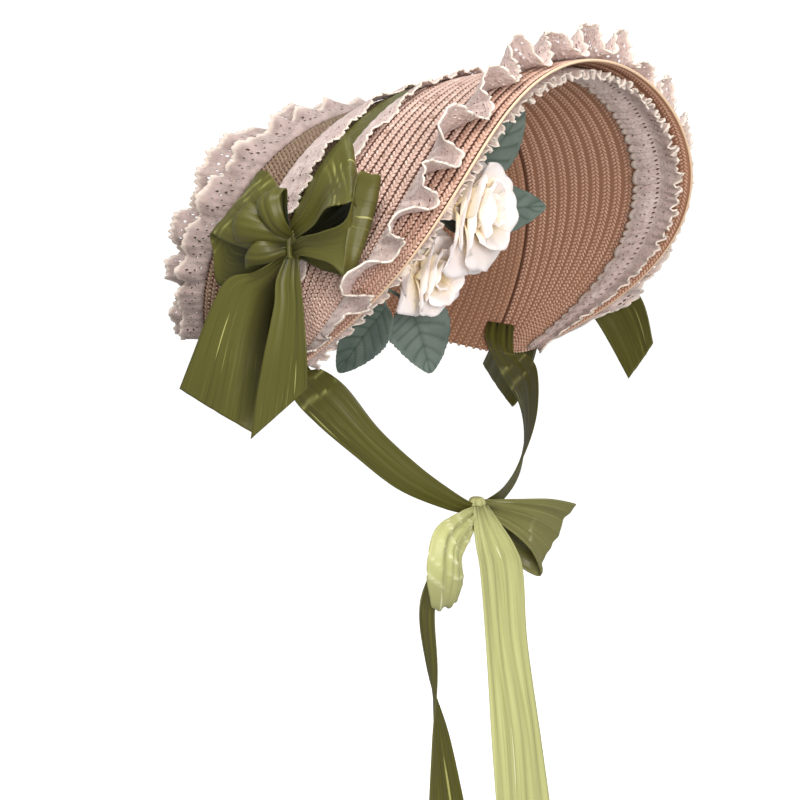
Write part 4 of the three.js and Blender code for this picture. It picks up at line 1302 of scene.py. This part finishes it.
def make_band_frill(name, frill):
    seed = frill["sewn"]

    def place(s, t):
        edge = edge_share(t, 0.85)
        full = t + scallop(s, FRILL_CELLS, 0.09) * edge
        warped = FRILL_GATHERS * s + 0.35 * np.sin(2 * np.pi * 3.3 * s + 9 * seed)
        over, high = folded(warped, FRILL_FOLD)
        across = (-1 + 2 * (s + over / FRILL_GATHERS * t * t)) * FRILL_REACH
        wave = 1 - np.cos(2 * np.pi * frill["waves"] * s)
        along = frill["sewn"] + (frill["free"] - frill["sewn"]) * full * (1 - 0.03 * wave)
        out = frill["out"] - 0.9 + 0.5 * frill["rise"] * wave * t + FRILL_LIFT * high * t
        out = out + 0.4 * ripples(s, t, 61, seed) * (0.5 + 0.5 * t)
        out = out + crimp(s, FRILL_CELLS, 0.5) * edge
        return wall(across, along, np.maximum(out, 1.75))

    lace = add_lace(f"{name}_lace", place, FRILL_LENGTH, frill["width"], FRILL_CELL, blossoms)
    return finish_piece(lace, name)


for frill_name, frill_sizes in FRILLS.items():
    make_band_frill(frill_name, frill_sizes)

# Brim ruffle
# A wide strip of the same lace, gathered and sewn round the outside of the brim a little behind the
# front edge. Its folds stand up in turn and fall over towards the front.
RUFFLE = {"sewn": 0.765, "width": 38, "cut": 0.88, "out": 2.2, "lean": 0.16}
RUFFLE_REACH = 0.985
# where on the arch the folds stand up, from right to left
RUFFLE_CRESTS = np.array([
    -1.09, -0.985, -0.895, -0.79, -0.66, -0.57, -0.46, -0.315, -0.22, -0.10, 0.02, 0.14, 0.22, 0.33,
    0.46, 0.55, 0.66, 0.78, 0.87, 0.97, 1.07,
])
RUFFLE_FOLD = fold_tables(1.62, -0.04)
ARCH_LENGTH = 311                # mm of seam for one unit across
RUFFLE_CELLS = 360


def ruffle_place(s, t):
    edge = edge_share(t, 0.88)
    full = t + scallop(s, RUFFLE_CELLS, 0.07) * edge
    counts = np.arange(len(RUFFLE_CRESTS))
    phase = np.interp((-1 + 2 * s) * RUFFLE_REACH, RUFFLE_CRESTS, counts)
    phase = phase + 0.10 * np.sin(2 * np.pi * 13.7 * s + 3 * t) * t
    size = np.interp(phase + 0.5, counts[1:], np.diff(RUFFLE_CRESTS)) * ARCH_LENGTH
    over, high = folded(phase, RUFFLE_FOLD)
    fan = 0.5 + 0.5 * np.sin(2.4 * phase + 0.8)
    across = np.interp(phase + over * t ** (1.0 + 0.9 * fan), counts, RUFFLE_CRESTS)
    across = np.clip(across, -RUFFLE_REACH, RUFFLE_REACH)
    gathers = 0.9 * ripples(s, t, 96, 0.2) * (1 - 0.6 * t) + 1.5 * ripples(s, t, 41, 0.7) * t
    tall = np.clip(0.58 + 0.42 * fan, 0, 0.95) * np.clip((1.05 - np.abs(across)) / 0.2, 0.5, 1)
    lift = size * high * t ** 1.15 * tall + gathers * np.clip(6 * t, 0, 1)
    lift = lift + crimp(s, RUFFLE_CELLS, 0.7) * edge
    ahead, _, out = wall_frame(across, RUFFLE["sewn"])
    ends = np.clip((1 - np.abs(across)) / 0.12, 0.42, 1)
    reach = RUFFLE["width"] * full * ends
    lean = RUFFLE["lean"] + 0.12 * np.sin(1.7 * phase + 2.0) * t
    start = wall(across, RUFFLE["sewn"], RUFFLE["out"])
    forward = reach * np.cos(lean) - np.abs(lift) * 0.35 + 1.2 * ripples(s, t, 23, 1.9) * t
    up = reach * np.sin(lean) * 0.5 + lift * 0.9
    return start + ahead * forward[:, None] + out * np.maximum(up, 0)[:, None]


ruffle = add_lace(
    "brim_ruffle_lace", ruffle_place, RUFFLE_CELLS * FRILL_CELL, RUFFLE["width"], FRILL_CELL, blossoms,
)
finish_piece(ruffle, "brim_ruffle")

# Brim facing
# Inside the front edge a ruched strip hides the raw plait. It is stitched along its middle, where a
# row of bigger eyelets runs, so both of its edges stand out as small frills.
FACING = {
    "inner": 0.77, "outer": 0.965, "out": -2.0, "folds": 74,
    "width": 40, "length": 1000, "cut": 0.66,
}
FACING_CELL = 3.4
FACING_CELLS = 294
FACING_FOLD = fold_tables(1.6, 0.0)


def facing_place(s, t):
    folds = FACING["folds"]
    phase = folds * s + 0.3 * np.sin(2 * np.pi * 7.3 * s) + 0.25 * np.sin(2 * np.pi * 17.7 * s)
    over, high = folded(phase, FACING_FOLD)
    outer = np.clip(2 * t - 1, 0, 1)
    inner = np.clip(1 - 2 * t, 0, 1)
    gather = 0.10 + 0.9 * outer ** 1.3
    across = (-1 + 2 * (s + over / folds * gather)) * FRILL_REACH
    box = np.abs(np.sin(np.pi * phase)) ** 0.45
    along = FACING["inner"] + (FACING["outer"] - FACING["inner"]) * t
    along = along - 0.022 * inner ** 3 * box + 0.010 * outer ** 3 * np.cos(2 * np.pi * phase * 0.71)
    pitch = 2 * ARCH_LENGTH / folds
    pleat = 0.75 * pitch * high * outer ** 1.1 + 1.9 * box * (1 - outer) * (0.45 + inner)
    puff = 2.2 * np.sin(np.pi * np.clip(2 * t, 0, 1)) + 4.0 * outer ** 1.2
    edge = edge_share(t, 0.88)
    along = along + scallop(s, FACING_CELLS, 0.016) * edge
    puff = puff + crimp(s, FACING_CELLS, 0.6) * edge
    return wall(across, along, FACING["out"] - puff - pleat, 1.5 * outer)


def facing_eyelets(column, row, rows):
    middle = rows // 2 - 1
    if row == middle:
        return 0.44 if column % 2 == 0 else 0
    if row in (middle - 2, middle + 3):
        return 0.3 if column % 3 == 0 else 0
    if row in (1, middle - 3):
        return 0.28 if column % 4 == row % 2 else 0
    return 0


facing = add_lace(
    "brim_facing_lace", facing_place, FACING["length"], FACING["width"], FACING_CELL,
    facing_eyelets, edges=(0, 1),
)
finish_piece(facing, "brim_facing")

# Back frill
# Two tiers of gathered lace sewn round the back edge of the crown. The wide outer tier flares
# backwards over the dome and the narrow inner one stands up in front of it.
BACK_SEWN = 0.02
BACK_SEAM = 500                  # length of the seam, mm
SEAM_HEIGHT = 1.1                # the sewn edge lies this far off the middle of the wall, mm
# rows: reach in mm and lift in radians at the top, halfway down and at the lower corners;
# start: height of the folds' base; length, width, cell: the flat lattice, mm; cut: flat length, m
BACK_TIERS = {
    "back_frill_outer": {
        "folds": 10, "bend": 0.72, "start": 2.35, "length": 860, "width": 38, "cell": 3.4,
        "cut": 0.60, "rows": [(36, 0.10), (40, 0.16), (28, -0.25)],
    },
    "back_frill_inner": {
        "folds": 17, "bend": 0.75, "start": 3.6, "length": 760, "width": 22, "cell": 3.0,
        "cut": 0.62, "rows": [(21, 0.20), (23, 0.30), (15, 0.05)],
    },
}
# painted shade: the back frill's lace is a darker copy of the same cotton lace
shaded_back_lace = lace_material(
    "soft cotton lace", (0.33, 0.255, 0.235, 1), (0.46, 0.36, 0.335, 1), 0.45,
)


def make_back_frill(name, tier):
    table = np.array(tier["rows"], float)
    fold = fold_tables(tier["bend"], -0.06)
    folds = tier["folds"]
    pitch = BACK_SEAM / folds

    def place(s, t):
        phase = folds * s + 0.3 * np.sin(2 * np.pi * 3.1 * s + folds)
        over, high = folded(phase, fold)
        across = (-1 + 2 * (s + over / folds * t * t)) * RUFFLE_REACH
        across = np.clip(across, -RUFFLE_REACH, RUFFLE_REACH)
        ahead, _, out = wall_frame(across, BACK_SEWN)
        sizes = curve_at(table, np.abs(across) * (len(table) - 1))
        edge = edge_share(t, 0.85)
        cells = round(tier["length"] / tier["cell"])
        width = sizes[:, 0] * (t + scallop(s, cells, 0.07) * edge)
        turn = sizes[:, 1] * (0.3 + 0.7 * t)
        rise = width * np.sin(turn) + pitch * high * t ** 1.1
        rise = rise + 0.5 * ripples(s, t, 83, folds / 10) * (0.7 - 0.4 * t)
        rise = rise + 1.7 * ripples(s, t, 31, folds / 7) * t + crimp(s, cells, 0.6) * edge
        rise = rise - (tier["start"] - SEAM_HEIGHT) * np.clip(1 - 9 * t, 0, 1)
        start = wall(across, BACK_SEWN, tier["start"])
        return start - ahead * (width * np.cos(turn))[:, None] + out * rise[:, None]

    lace = add_lace(
        f"{name}_lace", place, tier["length"], tier["width"], tier["cell"], sprigs,
        fabric=shaded_back_lace,
    )
    return finish_piece(lace, name)


def sprigs(column, row, rows):
    """Eyelets in slanting rows that turn back and forth."""
    from_edge = rows - 1 - row
    if from_edge < 2 or row == 0:
        return 0
    turn = (column + (row if row % 8 < 4 else -row)) % 6
    return 0.40 if turn == 0 else (0.28 if turn == 3 and row % 2 == 0 else 0)


for tier_name, tier_sizes in BACK_TIERS.items():
    make_back_frill(tier_name, tier_sizes)

# Flowers
# Two cream fabric flowers sewn inside the brim on the right: broad soft petals in four rings, each
# petal cupped and ruffled at its edge, set on a short stub.
PETAL_THICK = 0.5
LACE_CREST = 5.0                 # height of the facing's lace off the wall, mm
GAP = 0.35
WALL_BEND = 200                  # how fast the curved wall rises beside a flower's seat, mm
PETAL_GRID = 17
FLOWERS = {
    "flower_upper": {"across": -0.60, "along": 0.93, "faces": (0.15, -0.98, 0.05), "size": 1.12},
    "flower_lower": {"across": -0.75, "along": 0.93, "faces": (-0.05, -0.97, -0.2), "size": 0.86},
}
# open: angle of the ring from the bloom's axis, in degrees; long and wide: one petal, mm;
# rise: where the ring starts on the axis; clear: how far it keeps off the wall
PETAL_RINGS = [
    {"petals": 5, "open": 82, "long": 36, "wide": 24, "rise": 0, "clear": 3.4, "turn": 18},
    {"petals": 5, "open": 62, "long": 31, "wide": 22, "rise": 3, "clear": 6.5, "turn": 52},
    {"petals": 4, "open": 40, "long": 25, "wide": 18, "rise": 6, "clear": 9, "turn": 4},
    {"petals": 3, "open": 18, "long": 18, "wide": 12, "rise": 8, "clear": 10, "turn": 30},
]
STUB = {"radius": 6.5, "tall": 19, "taper": 0.25, "sides": 24, "rings": 6}


def petal_material():
    material, tree, shader = new_material("cream petal cloth", 0.85, sheen=0.3, more={
        "Specular IOR Level": 0.25,
        "Subsurface Weight": 0.3,
        "Subsurface Radius": (0.004, 0.003, 0.002),
        "Subsurface Scale": 0.8,
    })
    # the flower's yellow heart together with painted shade: petals darken towards their bases and in
    # the inner rings
    cream = colour_ramp(tree, attribute(tree, "depth"), [
        (0.0, (0.62, 0.40, 0.10, 1)),
        (0.28, (0.92, 0.76, 0.50, 1)),
        (0.6, (0.98, 0.86, 0.80, 1)),
        (1.0, (1.0, 0.90, 0.88, 1)),
    ])
    tree.links.new(cream, shader.inputs["Base Color"])
    add_bump(tree, shader, cloth_noise(tree, 3.0, 1600.0, 130.0), 0.35, 0.0005)
    return material


petal_cloth = petal_material()


def off_the_wall(points, seat, inward, clear):
    """Keeps petals clear of the curved wall behind the flower's seat."""
    away = points - seat
    height = away @ inward
    spread = np.sum((away - height[..., None] * inward) ** 2, -1)
    least = clear + spread / WALL_BEND
    return points + inward * np.maximum(least - height, 0)[..., None]


def petal_grid(ring, angle, size, seed):
    """One petal in the flower's own frame: x and y across the axis, z along it."""
    t, a = np.meshgrid(
        np.linspace(0, 1, PETAL_GRID), np.linspace(-1, 1, PETAL_GRID), indexing="ij",
    )
    outline = np.sin(np.pi * np.clip(0.08 + 0.66 * t, 0, 1)) ** 0.75
    wide = ring["wide"] * size * outline
    notch = 1 - 0.05 * np.exp(-(a / 0.2) ** 2) * t ** 8 - 0.30 * np.abs(a) ** 2.6 * t
    reach = ring["long"] * size * t * notch
    open_angle = math.radians(ring["open"]) * (0.60 + 0.55 * t)
    ruffle_edge = 0.9 * np.sin(1.5 * np.pi * a + seed) + 0.45 * np.sin(3.3 * np.pi * a - 2 * seed)
    ruffle_edge = ruffle_edge * t ** 2.5 * size
    cup = 5.0 * size * (a ** 2 - 0.35) * t * (1.15 - 0.75 * t)
    along = reach * np.sin(open_angle) - (cup + ruffle_edge) * np.cos(open_angle)
    up = reach * np.cos(open_angle) + (cup + ruffle_edge) * np.sin(open_angle)
    across = wide * a
    radial = 2.0 + along
    x = radial * math.cos(angle) - across * math.sin(angle)
    y = radial * math.sin(angle) + across * math.cos(angle)
    return np.stack([x, y, ring["rise"] + up], -1), t


def flower_stub(seat, inward):
    """The short cloth-covered stub that carries the petals off the lace."""
    turn, tall = np.meshgrid(
        np.linspace(0, 2 * np.pi, STUB["sides"] + 1)[:-1], np.linspace(0, 1, STUB["rings"]),
    )
    reach = STUB["radius"] * (1 - STUB["taper"] * tall)
    across_one = unit(np.cross(inward, (0, 0, 1)))
    across_two = np.cross(inward, across_one)
    points = (seat + inward * (tall * STUB["tall"])[..., None]
              + across_one * (reach * np.cos(turn))[..., None]
              + across_two * (reach * np.sin(turn))[..., None])
    faces = [tuple(reversed(face)) for face in closed_faces(STUB["rings"], STUB["sides"])]
    stub = add_object("stub", points.reshape(-1, 3), faces, petal_cloth)
    stub.data.uv_layers.new(name="UVMap")
    store_values(stub, "depth", np.full(len(stub.data.vertices), 0.5))
    return stub


def make_flower(name, bloom, seed):
    random = np.random.default_rng(seed)
    inward = -wall_frame(bloom["across"], bloom["along"])[2]
    seat = wall(bloom["across"], bloom["along"], -LACE_CREST - GAP)
    axis = unit(np.array(bloom["faces"]))
    side = unit(np.cross((0, 0, 1), axis))
    up = np.cross(axis, side)
    centre = seat + inward * (STUB["tall"] - 3) + axis * 2
    petals = []
    for ring in PETAL_RINGS:
        for k in range(ring["petals"]):
            angle = math.radians(ring["turn"] + random.normal(0, 7))
            angle = angle + 2 * math.pi * k / ring["petals"]
            shape = dict(ring)
            shape["open"] += random.normal(0, 5)
            shape["long"] *= 1 + random.normal(0, 0.05)
            grid, t = petal_grid(shape, angle, bloom["size"], random.uniform(0, 6.28))
            points = centre + grid[..., 0:1] * side + grid[..., 1:2] * up + grid[..., 2:3] * axis
            points = off_the_wall(points, seat, inward, ring["clear"])
            petal = add_object(
                "petal", points.reshape(-1, 3), grid_faces(PETAL_GRID, PETAL_GRID), petal_cloth,
            )
            add_grid_uvs(petal, PETAL_GRID, PETAL_GRID, 0.03, 0.03)
            store_values(petal, "depth", t * (1 - 0.12 * PETAL_RINGS.index(ring)))
            petals.append(add_thickness(petal, PETAL_THICK))
    flower = join_pieces(*petals, flower_stub(seat, inward))
    flower.name = f"{name}_petals"
    return finish_piece(flower, name)


for number, (flower_name, bloom_sizes) in enumerate(FLOWERS.items()):
    make_flower(flower_name, bloom_sizes, 11 + number)

# Leaves
# Four leaves of stiffened grey-green cloth behind and under the flowers, pressed with a midrib and
# side veins and cut with a finely toothed edge.
LEAF_THICK = 0.6
BLADE = {"stalk": 0.5, "full": 0.8, "fold": 0.15, "rows": 76, "columns": 31}
LEAVES = {
    "leaf_upper": {
        "across": -0.53, "along": 0.76, "wide": 14, "faces": (-0.6, -0.8, 0),
        "midrib": [(-84, -90, 114), (-48, -101, 137), (-30, -111, 165)],
    },
    "leaf_middle": {
        "across": -0.60, "along": 0.76, "wide": 18, "faces": (-0.5, -0.85, 0.1),
        "midrib": [(-96, -97, 97), (-62, -111, 100), (-28, -128, 102)],
    },
    "leaf_lower": {
        "across": -0.80, "along": 0.94, "wide": 20, "faces": (-0.6, -0.8, 0),
        "midrib": [(-101, -73, 43), (-91, -77, 24), (-87, -83, -3)],
    },
    "leaf_left": {
        "across": -0.82, "along": 0.88, "wide": 15, "faces": (-0.85, -0.5, 0.1),
        "midrib": [(-115, -70, 40), (-114, -51, 21), (-111, -25, -4)],
    },
}
VEINS = 6


def leaf_material():
    material, tree, shader = new_material("grey-green leaf cloth", 0.62, sheen=0.2, more={
        "Sheen Tint": (0.8, 1, 0.95, 1),
    })
    blade = colour_ramp(tree, noise(tree, 60.0, 3.0), [
        (0.3, (0.062, 0.095, 0.077, 1)),
        (0.7, (0.130, 0.170, 0.142, 1)),
    ])
    veined = mix_colours(tree, attribute(tree, "vein"), blade, (0.025, 0.055, 0.028, 1))
    tree.links.new(veined, shader.inputs["Base Color"])
    add_bump(tree, shader, noise(tree, 900.0, 2.0), 0.3, 0.0004)
    return material


leaf_cloth = leaf_material()


def make_leaf(name, blade):
    carried = LACE_CREST if blade["along"] > FACING["inner"] else 1.0
    seat = wall(blade["across"], blade["along"], -carried - GAP - BLADE["stalk"])
    knots = np.vstack([seat, np.array(blade["midrib"], float)])
    share = np.linspace(0, 1, BLADE["rows"])
    middle = curve_at(knots, share * 3)
    ahead = unit(np.gradient(middle, axis=0))
    side = unit(np.cross(ahead, np.array(blade["faces"], float)))
    rise = np.cross(side, ahead)
    grown = np.clip((3 * share - 1) / 2, 0, 1)
    half = 0.8 + blade["wide"] * np.sin(np.pi * grown ** BLADE["full"])
    teeth = 0.035 * (1 - 2 * ((grown * 30) % 1)) * (grown > 0.05)
    grown, half, teeth = grown[:, None], half[:, None], teeth[:, None]
    a = np.linspace(-1, 1, BLADE["columns"])[None, :]
    slant = grown - 0.16 * np.abs(a)
    phase = (slant * VEINS * 1.25) % 1
    vein = np.exp(-(np.minimum(phase, 1 - phase) / 0.11) ** 2)
    vein = vein * (np.abs(a) < 0.86) * (grown > 0.02)
    rib = np.exp(-(a / 0.05) ** 2)
    width = half * (1 + teeth * np.abs(a) ** 6)
    height = BLADE["fold"] * half * np.abs(a) ** 1.2
    height = height - 0.35 * vein * (1 - rib) - 0.5 * rib + 0.45 * np.sin(slant * 19) * np.abs(a) ** 2
    grid = middle[:, None] + side[:, None] * (width * a)[..., None] + rise[:, None] * height[..., None]
    faces = grid_faces(BLADE["rows"], BLADE["columns"])
    leaf = add_object(f"{name}_blade", grid.reshape(-1, 3), faces, leaf_cloth)
    add_grid_uvs(leaf, BLADE["rows"], BLADE["columns"], 0.03, 0.07)
    store_values(leaf, "vein", np.clip(0.75 * vein + 0.6 * rib, 0, 1))
    return finish_piece(add_thickness(leaf, LEAF_THICK), name)


for leaf_name, leaf_sizes in LEAVES.items():
    make_leaf(leaf_name, leaf_sizes)
